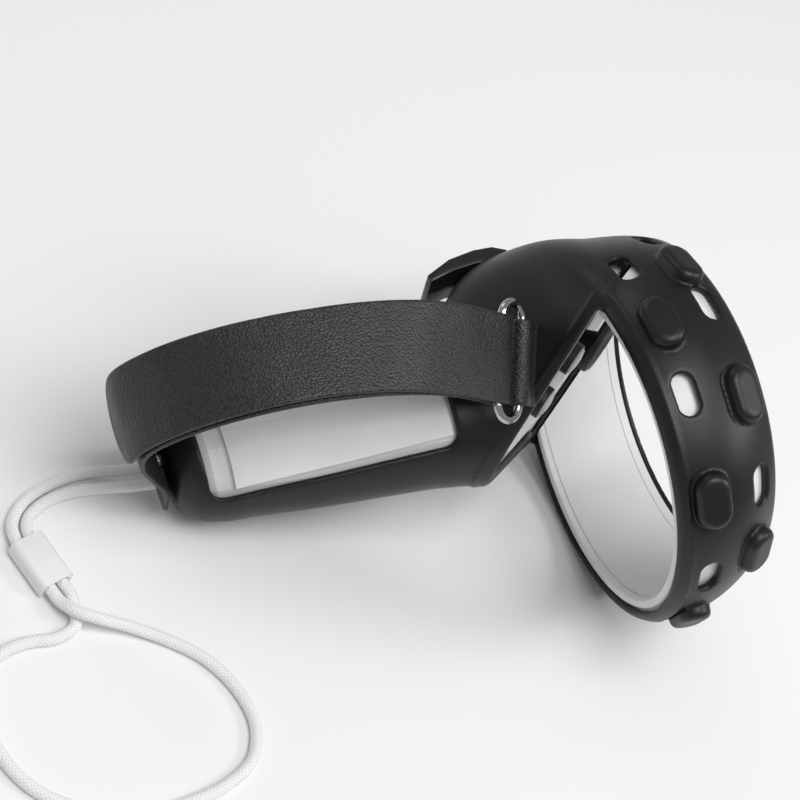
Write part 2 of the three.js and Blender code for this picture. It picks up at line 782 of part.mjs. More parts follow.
function thumbstick() {
  const profile = [[0, STICK_PIVOT - 1.2], [1, STICK_PIVOT - 1.2], [1, -8], [1.7, -3.5], [3.2, 0.2],
    [6.4, 0.5], [STICK_CAP, 1], [STICK_CAP, 2.6], [7, 3.4], [5.6, 3.2], [4.2, 2.7], [0, 2.5]];
  return atFace(...STICK_AT, lathe(profile, 20));
}

function mainBoard() {
  let board = solid(box([-14.5, -18.5, -12], [14.5, 6.5, -11]));
  const chips = [[-9, -10, 6], [6, -6, 7], [2, -15, 3.5]];
  for (const [x, y, size] of chips) {
    board = board.add(solid(box([x - size / 2, y - size / 2, -13.2], [x + size / 2, y + size / 2, -11.9])));
  }
  return onFace(geometryOf(board));
}

// ---- Trigger and grip button ----

const acrossPin = ([y, z], radius, from, to, sides = 16) =>
  placed(cylinder(radius, from, to, sides), move(0, y, z), turnY(90));

// A coil of round wire about a pin that runs along X.
function torsionSpring([y, z], from, to, radius, wire) {
  const turns = 3;
  const points = [];
  for (let i = 0; i <= turns * 8; i++) {
    const share = i / (turns * 8);
    const angle = share * turns * 2 * Math.PI;
    const [across, along] = [radius * Math.cos(angle), radius * Math.sin(angle)];
    points.push(new THREE.Vector3(from + (to - from) * share, y + across, z + along));
  }
  return tube(new THREE.CatmullRomCurve3(points), wire, turns * 10, 5);
}

function trigger() {
  const [y, z] = TRIGGER_PIN;
  const blade = sidePlate(
    [[50, -17.4], [54.8, -17.6], [56.6, -21], [57, -26], [56.2, -33], [53.4, -39.8], [51.6, -39.4], [53, -33],
      [53.4, -26], [52, -22.6], [50, -21.8]],
    TRIGGER_WIDTH,
  );
  const boss = sidePlate([[43.2, -19.5], [44, -21.6], [46, -22.3], [51, -22.4], [51, -17.4], [46, -16.7],
    [44, -17.4]], 9);
  return solid(blade).add(solid(boss)).subtract(solid(acrossPin([y, z], 1.3, -12, 12)));
}

function triggerBracket() {
  const [y, z] = TRIGGER_PIN;
  const back = solid(box([-10.6, 39.6, -24], [10.6, 41, -16]));
  let bracket = back;
  for (const side of [-1, 1]) {
    const [a, b] = side > 0 ? [9.2, 10.6] : [-10.6, -9.2];
    bracket = bracket.add(solid(box([a, 40, -22.2], [b, 47.9, -16])));
  }
  return bracket.subtract(solid(acrossPin([y, z], 1.3, -12, 12)));
}

function gripButton() {
  const blade = sidePlate([[38.4, -50.6], [39.6, -51.6], [40.2, -58], [40.4, -70], [39.4, -77], [37.6, -76.6],
    [38.2, -70], [38, -58], [37.4, -56.4], [36, -55.6], [36, -51]], GRIP_WIDTH);
  const boss = sidePlate([[28, -53.5], [28.8, -55.2], [30, -55.7], [37, -56.2], [37, -51], [30, -51.3],
    [28.8, -51.8]], 6);
  const body = solid(blade).add(solid(boss)).subtract(solid(acrossPin(GRIP_PIN, 1.2, -9, 9)));
  return placed(geometryOf(body), gripFrame);
}

function gripBracket() {
  let bracket = solid(box([-7, 25.9, -55.6], [7, 27, -51.4]));
  for (const side of [-1, 1]) {
    const [a, b] = side > 0 ? [5.9, 7] : [-7, -5.9];
    bracket = bracket.add(solid(box([a, 26.5, -55.2], [b, 31.5, -51.8])));
  }
  const body = bracket.subtract(solid(acrossPin(GRIP_PIN, 1.2, -9, 9)));
  return placed(geometryOf(body), gripFrame);
}

// ---- Battery, in the handle's own frame: z along the handle, up towards the head ----

const handleFrame = move(0, bodySection(HANDLE_MIDDLE, 0).y, HANDLE_MIDDLE).multiply(
  turnX(THREE.MathUtils.radToDeg(Math.atan(HANDLE_LEAN))),
);
const inHandle = (geometry) => placed(geometry, handleFrame);
const cellEnd = CELL.length / 2;

function batteryCell() {
  const r = CELL.radius;
  const profile = [[0, -cellEnd], [r - 0.6, -cellEnd], [r, -cellEnd + 0.6], [r, cellEnd - 2],
    [r - 0.7, cellEnd - 1.2], [2.7, cellEnd - 1.2], [2.7, cellEnd], [0, cellEnd]];
  return inHandle(lathe(profile, 24).translate(CELL.x, 0, 0));
}

function batteryTray() {
  const [inner, outer] = [CELL.radius + GAP, CELL.radius + 1.3];
  const shape = new THREE.Shape();
  shape.absarc(0, 0, outer, -Math.PI * 0.45, Math.PI * 0.45);
  shape.absarc(0, 0, inner, Math.PI * 0.45, -Math.PI * 0.45, true);
  return inHandle(plate(shape, -cellEnd - 4.4, cellEnd - 5.5, 10).translate(CELL.x, 0, 0));
}

function batterySpring() {
  const points = [];
  const turns = 3;
  for (let i = 0; i <= turns * 8; i++) {
    const share = i / (turns * 8);
    const angle = share * turns * 2 * Math.PI;
    const radius = 4.4 - 2 * share;
    const [x, y] = [CELL.x + radius * Math.cos(angle), radius * Math.sin(angle)];
    points.push(new THREE.Vector3(x, y, -cellEnd - 4 + 3.3 * share));
  }
  return inHandle(tube(new THREE.CatmullRomCurve3(points), 0.4, turns * 10, 5));
}

const contactPlate = (low, high) => inHandle(box([CELL.x - 4, -4, low], [CELL.x + 4, 4, high]));

function batteryDoor() {
  const skin = bodyLoft(0.6).subtract(bodyLoft(SILICONE));
  return skin.intersect(palmWedge(DOOR.low, DOOR.high, DOOR.halfAngle));
}

// ---- Screws ----

function screw([y, z]) {
  const profile = [[0, -SCREW_REACH], [1.1, -SCREW_REACH], [1.1, 6.2], [2, 6.2], [2, 7.4], [0, 7.4]];
  return placed(lathe(profile, 16), move(0, y, z), turnY(90));
}

// ---- The assembly ----

add("silicone_cover", siliconeCover().subtract(anchorBody(GAP)), looks.silicone);
add("ring_inner_shell", ringInnerShell(), looks.white);
add("ring_outer_shell", ringOuterShell(), looks.white);
add("led_strip", ledStrip(), looks.copper);
add("face_surround", faceSurround(), looks.white);
add("face_plate", facePlate(), looks.white);
const shell = handleShell();
add("handle_shell_left", shell.intersect(halfSpace(-1)), looks.white);
add("handle_shell_right", shell.intersect(halfSpace(1)), looks.white);

add("stick_housing", stickHousing(), looks.black);
add("gimbal_yoke", gimbalYoke(), looks.steel);
add("stick_socket", stickSocket(), looks.black);
add("thumbstick", thumbstick(), looks.black);
add("button_upper", atFace(...BUTTON_UPPER_AT, button(BUTTON_RADIUS, BUTTON_TOP, BUTTON_LOW)), looks.black);
add("button_lower", atFace(...BUTTON_LOWER_AT, button(BUTTON_RADIUS, BUTTON_TOP, BUTTON_LOW)), looks.black);
add("menu_button", atFace(...MENU_AT, button(MENU_RADIUS, MENU_TOP, BUTTON_LOW)), looks.black);
add("button_pad", onFace(box([-16, -16.8, -9.2], [13, 4.5, -8.2])), looks.silicone);
add("main_board", mainBoard(), looks.board);

add("trigger", trigger(), looks.black);
add("trigger_pin", acrossPin(TRIGGER_PIN, 1, -10.6, 10.6), looks.steel);
add("trigger_spring", torsionSpring(TRIGGER_PIN, 5.2, 8.6, 2, 0.35), looks.steel);
add("trigger_bracket", triggerBracket(), looks.black);
add("grip_button", gripButton(), looks.black);
add("grip_pin", placed(acrossPin(GRIP_PIN, 0.9, -7, 7), gripFrame), looks.steel);
add("grip_spring", placed(torsionSpring(GRIP_PIN, 3.6, 5.4, 1.6, 0.3), gripFrame), looks.steel);
add("grip_bracket", gripBracket(), looks.black);

add("battery_door", batteryDoor(), looks.white);
add("battery_cell", batteryCell(), looks.cell);
add("battery_tray", batteryTray(), looks.black);
add("battery_spring", batterySpring(), looks.steel);
add("contact_negative", contactPlate(-cellEnd - 5, -cellEnd - 4.5), looks.steel);
add("contact_positive", contactPlate(cellEnd + 0.3, cellEnd + 0.8), looks.steel);
add("haptic_motor", placed(cylinder(5, -4, 4, 24), move(0, 22, -43)), looks.steel);
SHELL_SCREWS.forEach((place, i) => add(`shell_screw_${i + 1}`, screw(place), looks.steel));

add("strap", strap(), looks.leather);
add("hook_patch", patch(2.08), looks.hook);
add("loop_patch", patch(1.02), looks.hook);
add("strap_ring", strapRing(), looks.steel);
add("anchor_loop", anchorLoop(), looks.leather);

add("strap_rivet", strapRivet(), looks.steel);
add("lanyard_pin", placed(cylinder(LANYARD_PIN.radius, LANYARD_PIN.low, LANYARD_PIN.high, 16),
  move(LANYARD_X, 0, LANYARD_PIN.z), turnX(-90)), looks.steel);

// ---- Laid down, with the origin under the middle of its box ----

const up = new THREE.Vector3(...DOWN).normalize().negate();
const ahead = new THREE.Vector3(...AHEAD).projectOnPlane(up).normalize();
const right = new THREE.Vector3().crossVectors(ahead, up);
const laid = new THREE.Matrix4().makeBasis(right, ahead, up).transpose();
controller.applyMatrix4(laid);
const bounds = new THREE.Box3().setFromObject(controller, true);
const middle = bounds.getCenter(new THREE.Vector3());
controller.position.sub(new THREE.Vector3(middle.x, middle.y, bounds.min.z));
controller.updateMatrixWorld(true);

// ---- The lanyard, where it lies ----

function roundedRectangle([width, height], radius) {
  const [x, y] = [width / 2 - radius, height / 2 - radius];
  const shape = new THREE.Shape();
  shape.absarc(x, y, radius, 0, Math.PI / 2);
  shape.absarc(-x, y, radius, Math.PI / 2, Math.PI);
  shape.absarc(-x, -y, radius, Math.PI, 1.5 * Math.PI);
  shape.absarc(x, -y, radius, 1.5 * Math.PI, 2 * Math.PI);
  return shape;
}

function cordSlider() {
  const [width, height, length] = SLIDER_SIZE;
  const section = roundedRectangle([width, height], 1.6);
  section.holes.push(roundedRectangle(SLIDER_HOLE, SLIDER_HOLE[1] / 2 - 0.01));
  const geometry = plate(section, -length / 2, length / 2, 4);
  const run = new THREE.Vector3(...SLIDER_RUN).normalize();
  const up = new THREE.Vector3(0, 0, 1);
  const side = new THREE.Vector3().crossVectors(up, run);
  const turned = new THREE.Matrix4().makeBasis(side, up, run).setPosition(...SLIDER_AT);
  return placed(geometry, turned);
}

const part = new THREE.Group();
part.add(controller);

const cordCurve = new THREE.CatmullRomCurve3(CORD_ROUTE.map((p) => new THREE.Vector3(...p)));
add("lanyard_cord", tube(cordCurve, CORD_RADIUS, 64), looks.cord, part);
add("cord_slider", cordSlider(), looks.slider, part);

export default part;
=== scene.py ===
"""Left-hand VR motion controller in a silicone cover, with a knuckle strap and a wrist lanyard.

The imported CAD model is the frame. The cover, the strap and the other pieces that show are built here as
finer meshes, in the same design frame as the CAD source (millimetres, +Z along the tracking ring's axis
away from the handle, +Y to the front, +X to the inner side), and laid down by one matrix.
"""

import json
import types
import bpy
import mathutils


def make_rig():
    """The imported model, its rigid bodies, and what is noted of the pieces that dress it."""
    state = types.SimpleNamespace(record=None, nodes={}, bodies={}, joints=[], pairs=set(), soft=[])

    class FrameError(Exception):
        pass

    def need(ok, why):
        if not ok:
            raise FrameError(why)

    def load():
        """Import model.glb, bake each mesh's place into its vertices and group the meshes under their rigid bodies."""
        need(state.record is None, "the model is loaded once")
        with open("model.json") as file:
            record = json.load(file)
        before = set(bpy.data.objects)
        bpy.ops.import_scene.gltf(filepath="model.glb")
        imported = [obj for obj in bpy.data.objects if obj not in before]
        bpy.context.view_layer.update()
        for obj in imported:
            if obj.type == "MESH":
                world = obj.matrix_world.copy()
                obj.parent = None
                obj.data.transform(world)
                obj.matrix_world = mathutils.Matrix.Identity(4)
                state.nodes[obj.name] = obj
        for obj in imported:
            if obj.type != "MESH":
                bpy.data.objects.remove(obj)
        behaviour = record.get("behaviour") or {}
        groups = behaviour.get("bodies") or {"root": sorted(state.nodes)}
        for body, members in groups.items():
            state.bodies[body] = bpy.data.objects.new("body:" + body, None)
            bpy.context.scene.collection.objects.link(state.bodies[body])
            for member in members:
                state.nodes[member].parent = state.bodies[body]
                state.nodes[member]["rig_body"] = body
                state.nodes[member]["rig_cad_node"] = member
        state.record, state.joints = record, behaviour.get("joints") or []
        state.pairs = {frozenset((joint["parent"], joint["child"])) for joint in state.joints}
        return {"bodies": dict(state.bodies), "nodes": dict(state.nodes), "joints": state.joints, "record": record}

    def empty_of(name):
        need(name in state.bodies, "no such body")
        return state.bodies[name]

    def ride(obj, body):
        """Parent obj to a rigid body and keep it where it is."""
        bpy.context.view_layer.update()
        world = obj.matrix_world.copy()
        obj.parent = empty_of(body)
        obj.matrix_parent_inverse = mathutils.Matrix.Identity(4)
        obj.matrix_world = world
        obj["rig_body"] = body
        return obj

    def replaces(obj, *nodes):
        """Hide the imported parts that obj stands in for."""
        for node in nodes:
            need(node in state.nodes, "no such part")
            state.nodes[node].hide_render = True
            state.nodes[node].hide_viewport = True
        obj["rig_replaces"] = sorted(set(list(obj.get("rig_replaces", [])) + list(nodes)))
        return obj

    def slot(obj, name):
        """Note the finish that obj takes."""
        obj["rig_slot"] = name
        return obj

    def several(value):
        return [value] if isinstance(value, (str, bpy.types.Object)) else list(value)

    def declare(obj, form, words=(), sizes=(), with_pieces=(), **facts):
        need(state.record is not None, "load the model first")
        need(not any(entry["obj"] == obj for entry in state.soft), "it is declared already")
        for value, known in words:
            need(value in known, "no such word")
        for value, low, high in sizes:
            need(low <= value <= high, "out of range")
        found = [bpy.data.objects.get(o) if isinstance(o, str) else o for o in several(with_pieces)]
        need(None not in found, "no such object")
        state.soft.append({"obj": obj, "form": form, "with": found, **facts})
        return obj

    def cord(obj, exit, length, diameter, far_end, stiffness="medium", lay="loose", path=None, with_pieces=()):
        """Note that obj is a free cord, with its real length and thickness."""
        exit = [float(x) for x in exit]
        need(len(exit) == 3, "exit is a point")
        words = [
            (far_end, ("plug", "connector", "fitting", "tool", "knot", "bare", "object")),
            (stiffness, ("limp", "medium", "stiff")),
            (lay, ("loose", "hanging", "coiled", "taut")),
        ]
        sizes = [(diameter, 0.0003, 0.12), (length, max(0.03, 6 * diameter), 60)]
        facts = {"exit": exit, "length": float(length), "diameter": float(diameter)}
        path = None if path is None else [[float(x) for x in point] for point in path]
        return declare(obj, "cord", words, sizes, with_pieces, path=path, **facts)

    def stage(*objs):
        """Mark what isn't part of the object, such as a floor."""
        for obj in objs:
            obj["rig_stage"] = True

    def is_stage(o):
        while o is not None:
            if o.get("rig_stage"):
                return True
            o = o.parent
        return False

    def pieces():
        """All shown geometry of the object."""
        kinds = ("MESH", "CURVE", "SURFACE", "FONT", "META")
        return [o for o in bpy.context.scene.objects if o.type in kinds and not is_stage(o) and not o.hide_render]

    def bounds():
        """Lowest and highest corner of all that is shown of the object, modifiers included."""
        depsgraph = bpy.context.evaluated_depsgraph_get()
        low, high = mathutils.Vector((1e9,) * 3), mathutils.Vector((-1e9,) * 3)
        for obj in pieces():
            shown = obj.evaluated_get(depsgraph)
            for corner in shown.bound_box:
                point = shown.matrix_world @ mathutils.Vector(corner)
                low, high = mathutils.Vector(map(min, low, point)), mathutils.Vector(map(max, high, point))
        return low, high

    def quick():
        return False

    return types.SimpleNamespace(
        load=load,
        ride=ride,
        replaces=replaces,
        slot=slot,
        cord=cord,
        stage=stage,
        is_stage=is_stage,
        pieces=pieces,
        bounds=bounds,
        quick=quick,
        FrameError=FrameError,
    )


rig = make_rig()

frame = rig.load()
cad_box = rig.bounds()

import json
import math
from functools import reduce

import bmesh
import bpy
import numpy as np
import openvdb
from mathutils import Matrix, Vector

MM = 0.001
SPAN_STEPS = 10  # of a strip's curve, between two of its given points
SHARP = math.radians(38)  # edges that turn by more than this are shaded as edges

# ---- Driving dimensions of the design frame, in millimetres and degrees ----

SILICONE = 2.0
GAP = 0.3
BAND_LOW, BAND_TOP = -14.0, 15.2
BAND_MID, BAND_TILT, BAND_DOME, BAND_SHEAR = 47.7, 0.086, 0.0184, 0.142
RING_INNER, RING_TOP = 40.0, 13.5
MOUTH_RADIUS = RING_INNER + 0.2  # the cover's opening through the ring
CORE_RADIUS = 20  # the ring's cuts stay outside this, clear of the head
RIM_LIP, RIM_LIP_RADIUS, RIM_RECESS = 1.5, 42.8, 0.8
RING_WALL, RING_FLANGE, TOP_FLANGE = 1.3, 1.4, 3
SEAT_LOW = BAND_LOW + RIM_LIP + GAP
FACE_LIP, FACE_LIP_REACH = 1.3, 2.4
ROOM_TOP = 12
GRID, CELL, QUICK_CELL = ((-53, -53, -122), (53, 61, 20)), 0.5, 0.9
BEAD_INSET, BEAD_RADIUS, BEAD_SUNK, BEAD_TOP = 2.6, 0.5, 0.22, -10
FACE_TILT = 54.4
FACE_ORIGIN = (0, 19.7, -14.1)
BUTT, BUTT_INSIDE = -118.0, -112
BODY = (  # outside of the cover: z, centre y, half width, half depth
    (13, 4, 38, 43.5),
    (0, 4.5, 42, 47),
    (-14, 5, 43, 49.5),
    (-22, 16, 31, 39),
    (-28, 20.5, 25.3, 33.5),
    (-36, 22.5, 20.3, 27.5),
    (-44, 20.7, 18.5, 21.3),
    (-52, 19.5, 17.5, 18),
    (-66, 21, 17, 17.5),
    (-82, 22.5, 16.5, 17),
    (-98, 24.5, 16, 16.5),
    (-108, 25.5, 15.5, 16),
    (-114, 26.2, 13.5, 14),
    (-117, 26.6, 10.5, 11),
    (-118, 26.7, 8.5, 9),
)
BUMPS = (  # angle about the ring's axis, z
    (171.5, -5.3),
    (223.5, -6),
    (277, -6),
    (329, -6),
    (381, -6),
    (154, 7.8),
    (199.5, 7.5),
    (251, 7.5),
    (303, 7.5),
    (355, 7.5),
)
WINDOWS = (
    (146.5, -4.5),
    (192.8, -6.5),
    (252, -6),
    (303, -6),
    (355, -6),
    (131.5, 8.6),
    (169.5, 8.8),
    (228, 8.5),
    (277, 8.5),
    (329, 8.5),
    (381, 8.5),
)
BUMP_SIZE, BUMP_REACH = (14, 8.5, 2.7), 11
GROOVE_OUT, GROOVE_FLAT, GROOVE_SUNK, GROOVE_RADIUS = 0.5, 0.15, 0.1, 0.45
WINDOW_SIZE, WINDOW_DEPTH, WINDOW_REACH = (10, 5), 6, 9
SLOT_ROUND = 1.5
TRIGGER_SLOT_HALF, TRIGGER_SLOT_Y, TRIGGER_SLOT_Z = 8.55, (34, 66), (-41.8, -16.2)
GRIP_TURN, GRIP_CENTRE_Y = -35, 21
GRIP_SLOT_HALF, GRIP_SLOT_Y, GRIP_SLOT_Z = 5.8, (31, 50), (-78, -49.5)
DOOR_LOW, DOOR_HIGH, DOOR_HALF_ANGLE, DOOR_TRAVEL = -103.8, -50.8, 42, 5
DOOR_APEX_X, DOOR_MARGIN, DOOR_SPREAD, DOOR_CORNER = 4, 1, 4, 4
LANYARD_X, LANYARD_HALF, LANYARD_Y = 5.8, 1.9, (22.2, 31.4)
RIVET_AT, RIVET_HOLE = (-3, 26.6), 1.6
STRAP_WIDTH, STRAP_THICK, LAYER_SPACING, TAIL_START = 21.0, 1.3, 3.1, 3
STRAP_END_ROUND, EDGE_ROLL = 9.5, 0.6
RING_WIRE, BAR_SPACING = 1.1, 7.2
SLEEVE = RING_WIRE + GAP
RING_CENTRE = (-25.8, 16.8, -32.8)
RING_ACROSS, RING_ALONG = Vector((-0.35, 0.88, 0.33)), Vector((0.58, -0.07, 0.81))
STRAP_ROUTE = (
    (3, 26.6, -119.6),
    (-7, 26.6, -119.7),
    (-15, 27, -122.4),
    (-24, 27.3, -125),
    (-34, 26.6, -123.6),
    (-42, 25, -117),
    (-48, 23.2, -107),
    (-51.3, 21.5, -96),
    (-52, 20.2, -85),
    (-50.8, 19, -73),
    (-47.6, 18, -62),
    (-41, 18, -52.3),
    (-33.3, 18.4, -44.8),
)
STICK_AT, STICK_CAP, PIVOT = (5.5, 16.5), 7.7, -11.5
UPPER_AT, LOWER_AT, MENU_AT = (-12, -0.5), (-7, -12.5), (9.5, -7)
BUTTON_RADIUS, MENU_RADIUS = 4.3, 3.0
BUTTON_LOW, BUTTON_TOP, MENU_TOP = -6.8, 1.6, -2.9
BUTTON_FLANGE, CAP_DEPTH, CAP_INSET = 0.7, 0.9, 0.6
PLATE_DEPTH, PLATE_THICK = 3.5, 1.8

# The lanyard's route in the finished part's frame, in millimetres
CORD_DIAMETER = 2.9
CORD_STEP = 0.4
BRAID_STRANDS = 8.0  # of each family, round the cord
BRAID_PITCH = 1.1  # from one strand to the next along the cord
CORD_ROUTE = (
    (-55.2, -37.2, 8.1),
    (-58.2, -40.9, 6.5),
    (-63.6, -45.8, 3.9),
    (-70.2, -51.2, 1.7),
    (-75.2, -60, 1.5),
    (-77.2, -69, 1.5),
    (-75.6, -75.6, 2),
    (-72.2, -78.9, 2.7),
    (-65.2, -81.5, 2.7),
    (-59.1, -83.9, 2.7),
    (-55.9, -85.1, 2.8),
    (-51.4, -85.9, 4.5),
    (-46.5, -84.2, 4.7),
    (-39.5, -79.8, 2.6),
    (-31, -76.2, 1.5),
    (-21, -74.3, 1.5),
    (-11, -75.9, 1.5),
    (-2.8, -80.8, 1.5),
    (1, -88.6, 1.5),
    (-0.6, -97.6, 1.5),
    (-5.6, -107, 1.5),
    (-13.4, -116, 1.5),
    (-24, -123, 1.5),
    (-36, -125.4, 1.5),
    (-47.5, -122, 1.5),
    (-56, -114.5, 1.5),
    (-58.6, -105.5, 1.5),
    (-55.5, -98, 1.5),
    (-50.8, -92.4, 1.5),
    (-49.6, -86.9, 1.5),
    (-54.7, -82, 2.6),
    (-57.9, -80.8, 2.7),
    (-64, -78.5, 2.7),
    (-71, -75.8, 2.7),
    (-73.6, -72, 1.8),
    (-73.4, -65.5, 1.5),
    (-70.4, -58.8, 1.5),
    (-65.6, -53, 1.8),
    (-60, -48.6, 3.8),
    (-54.6, -43.8, 6.1),
    (-51.5, -40, 7.7),
)

# ---- From the design frame to the row frame ----

DOWN = Vector((0.943, -0.085, -0.321)).normalized()
AHEAD = Vector((0.9, 0.352, 0.257))
RIM_POINT = Vector((0, 45.35, 15.2))  # the mount ring_rim_face, in the design frame

up = -DOWN
ahead = (AHEAD - AHEAD.dot(up) * up).normalized()
right = ahead.cross(up)
turned = Matrix((right, ahead, up))
rim = Vector(next(m["pos_m"] for m in frame["record"]["mounts"] if m["name"] == "ring_rim_face"))
LAID = Matrix.Translation(rim - turned @ RIM_POINT * MM) @ turned.to_4x4() @ Matrix.Scale(MM, 4)
FACE = Matrix.Translation(FACE_ORIGIN) @ Matrix.Rotation(math.radians(FACE_TILT), 4, "X")


def laid(points):
    """Points of the design frame, in the row frame."""
    matrix = np.array(LAID)
    return np.asarray(points, float) @ matrix[:3, :3].T + matrix[:3, 3]


# ---- Camera ----

# The photograph's view: the camera's place, and the picture's right and up, in the design frame
EYE = Vector((-402.3, -131.38, -171.42))
PICTURE_RIGHT = Vector((-0.1324, -0.342, 0.9303))
PICTURE_UP = Vector((-0.4156, 0.8713, 0.2612))

camera_data = bpy.data.cameras.new("camera")
camera_data.lens = 81
camera_data.sensor_width = 36
camera_data.clip_start = 0.05
camera_data.clip_end = 20
camera = bpy.data.objects.new("camera", camera_data)
bpy.context.collection.objects.link(camera)
view_right = (turned @ PICTURE_RIGHT).normalized()
view_up = (turned @ PICTURE_UP).normalized()
view_back = view_right.cross(view_up).normalized()
view = Matrix((view_right, view_up, view_back)).transposed().to_4x4()
camera.matrix_world = Matrix.Translation(LAID @ EYE) @ view
bpy.context.scene.camera = camera


# ---- Materials ----

class Look:
    """A Principled material with procedural colour, roughness and bump."""

    def __init__(self, name, base, roughness, metallic=0.0, **settings):
        self.material = bpy.data.materials.new(name)
        self.material.use_nodes = True
        self.tree = self.material.node_tree
        self.nodes, self.links = self.tree.nodes, self.tree.links
        self.shader = self.nodes["Principled BSDF"]
        self.shader.inputs["Base Color"].default_value = (*base, 1)
        self.shader.inputs["Roughness"].default_value = roughness
        self.shader.inputs["Metallic"].default_value = metallic
        for key, value in settings.items():
            self.shader.inputs[key.replace("_", " ")].default_value = value
        self.where = self.nodes.new("ShaderNodeTexCoord").outputs["Object"]
        self.height = None

    def noise(self, scale, detail=3.0):
        """Noise with features of about 1 / scale metres."""
        node = self.nodes.new("ShaderNodeTexNoise")
        node.inputs["Scale"].default_value = scale
        node.inputs["Detail"].default_value = detail
        self.links.new(self.where, node.inputs["Vector"])
        return node.outputs["Fac"]

    def cells(self, scale, feature="F1", smoothness=None):
        """Distance within cells of about 1 / scale metres."""
        node = self.nodes.new("ShaderNodeTexVoronoi")
        node.feature = feature
        node.inputs["Scale"].default_value = scale
        if smoothness is not None:
            node.inputs["Smoothness"].default_value = smoothness
        self.links.new(self.where, node.inputs["Vector"])
        return node.outputs["Distance"]

    def ramp(self, value, stops):
        """value through a colour ramp of (position, colour)."""
        node = self.nodes.new("ShaderNodeValToRGB")
        elements = node.color_ramp.elements
        while len(elements) < len(stops):
            elements.new(0.5)
        for element, (position, colour) in zip(elements, stops):
            element.position = position
            element.color = (*colour, 1)
        self.links.new(value, node.inputs["Fac"])
        return node.outputs["Color"]

    def spread(self, value, low, high, start=0.3, end=0.7):
        """value from start to end, mapped onto low to high."""
        node = self.nodes.new("ShaderNodeMapRange")
        for key, number in zip(("From Min", "From Max", "To Min", "To Max"), (start, end, low, high)):
            node.inputs[key].default_value = number
        self.links.new(value, node.inputs["Value"])
        return node.outputs["Result"]

    def maths(self, operation, a, b=0.0):
        node = self.nodes.new("ShaderNodeMath")
        node.operation = operation
        for socket, value in zip(node.inputs, (a, b)):
            if isinstance(value, (int, float)):
                socket.default_value = value
            else:
                self.links.new(value, socket)
        return node.outputs["Value"]

    def colour(self, value, stops):
        self.links.new(self.ramp(value, stops), self.shader.inputs["Base Color"])
        return self

    def rough(self, value, low, high):
        self.links.new(self.spread(value, low, high), self.shader.inputs["Roughness"])
        return self

    def bump(self, value, depth, strength=1.0):
        """Height from value, depth in metres from its 0 to its 1, over any bump before it."""
        node = self.nodes.new("ShaderNodeBump")
        node.inputs["Strength"].default_value = strength
        node.inputs["Distance"].default_value = depth
        self.links.new(value, node.inputs["Height"])
        if self.height is not None:
            self.links.new(self.height, node.inputs["Normal"])
        self.height = node.outputs["Normal"]
        self.links.new(self.height, self.shader.inputs["Normal"])
        return self


def grey(level, warm=0.0):
    return (level * (1 + warm), level, level * (1 - warm))


def silicone_look():
    look = Look("silicone", grey(0.006), 0.4, Specular_IOR_Level=0.4)
    dust = look.spread(look.noise(5200, 2), 0, 1, 0.7, 0.8)
    haze = look.noise(60, 4)
    mixed = look.maths("ADD", look.maths("MULTIPLY", dust, 0.5), look.maths("MULTIPLY", haze, 0.35))
    look.colour(mixed, [(0.05, grey(0.004)), (0.3, grey(0.007)), (1, grey(0.06))])
    look.rough(haze, 0.36, 0.46)
    return look.bump(look.noise(2600, 3), 0.00003, 0.55)


def moulded_look(name, base, roughness, grain=3200, depth=0.00002):
    look = Look(name, base, roughness)
    haze = look.noise(45, 4)
    look.colour(haze, [(0.25, [c * 0.95 for c in base]), (0.75, [min(1, c * 1.04) for c in base])])
    look.rough(look.noise(180, 3), roughness * 0.88, roughness * 1.12)
    return look.bump(look.noise(grain, 2), depth, 0.6)


def leather_look():
    look = Look("strap_leather", grey(0.016), 0.45)
    pebbles = look.cells(1900, "SMOOTH_F1", 0.25)
    broad = look.noise(90, 4)
    painted_crease_shade_and_tone = look.maths("ADD", look.maths("MULTIPLY", pebbles, 0.7), look.maths("MULTIPLY", broad, 0.4))
    # colour lighter on the pebbles' tops and darker in the creases between them: painted shade in the grain, with a
    # broad random tone over it
    look.colour(painted_crease_shade_and_tone, [(0.28, grey(0.028, 0.01)), (0.55, grey(0.016)), (0.85, grey(0.007))])
    look.rough(broad, 0.38, 0.48)
    look.bump(look.maths("SUBTRACT", 1.0, pebbles), 0.0002, 0.85)
    return look.bump(look.noise(4200, 2), 0.00002, 0.4)


def tape_look(name, base, scale):
    look = Look(name, base, 0.95, Sheen_Weight=0.3)
    look.colour(look.noise(scale, 4), [(0.3, [c * 0.6 for c in base]), (0.7, [c * 1.8 for c in base])])
    return look.bump(look.cells(scale), 0.0003, 0.9)


def metal_look(name, base, roughness, brush=900):
    look = Look(name, base, roughness, 1.0)
    look.rough(look.noise(brush, 3), roughness * 0.7, roughness * 1.5)
    look.colour(look.noise(120, 3), [(0.3, [c * 0.85 for c in base]), (0.7, base)])
    return look.bump(look.noise(brush * 3, 2), 0.000008, 0.5)


def board_look():
    look = Look("board", (0.02, 0.1, 0.05), 0.4)
    tracks = look.cells(420, "DISTANCE_TO_EDGE")
    look.colour(tracks, [(0.02, (0.05, 0.22, 0.1)), (0.08, (0.015, 0.09, 0.045))])
    return look.bump(tracks, 0.00004, 0.5)


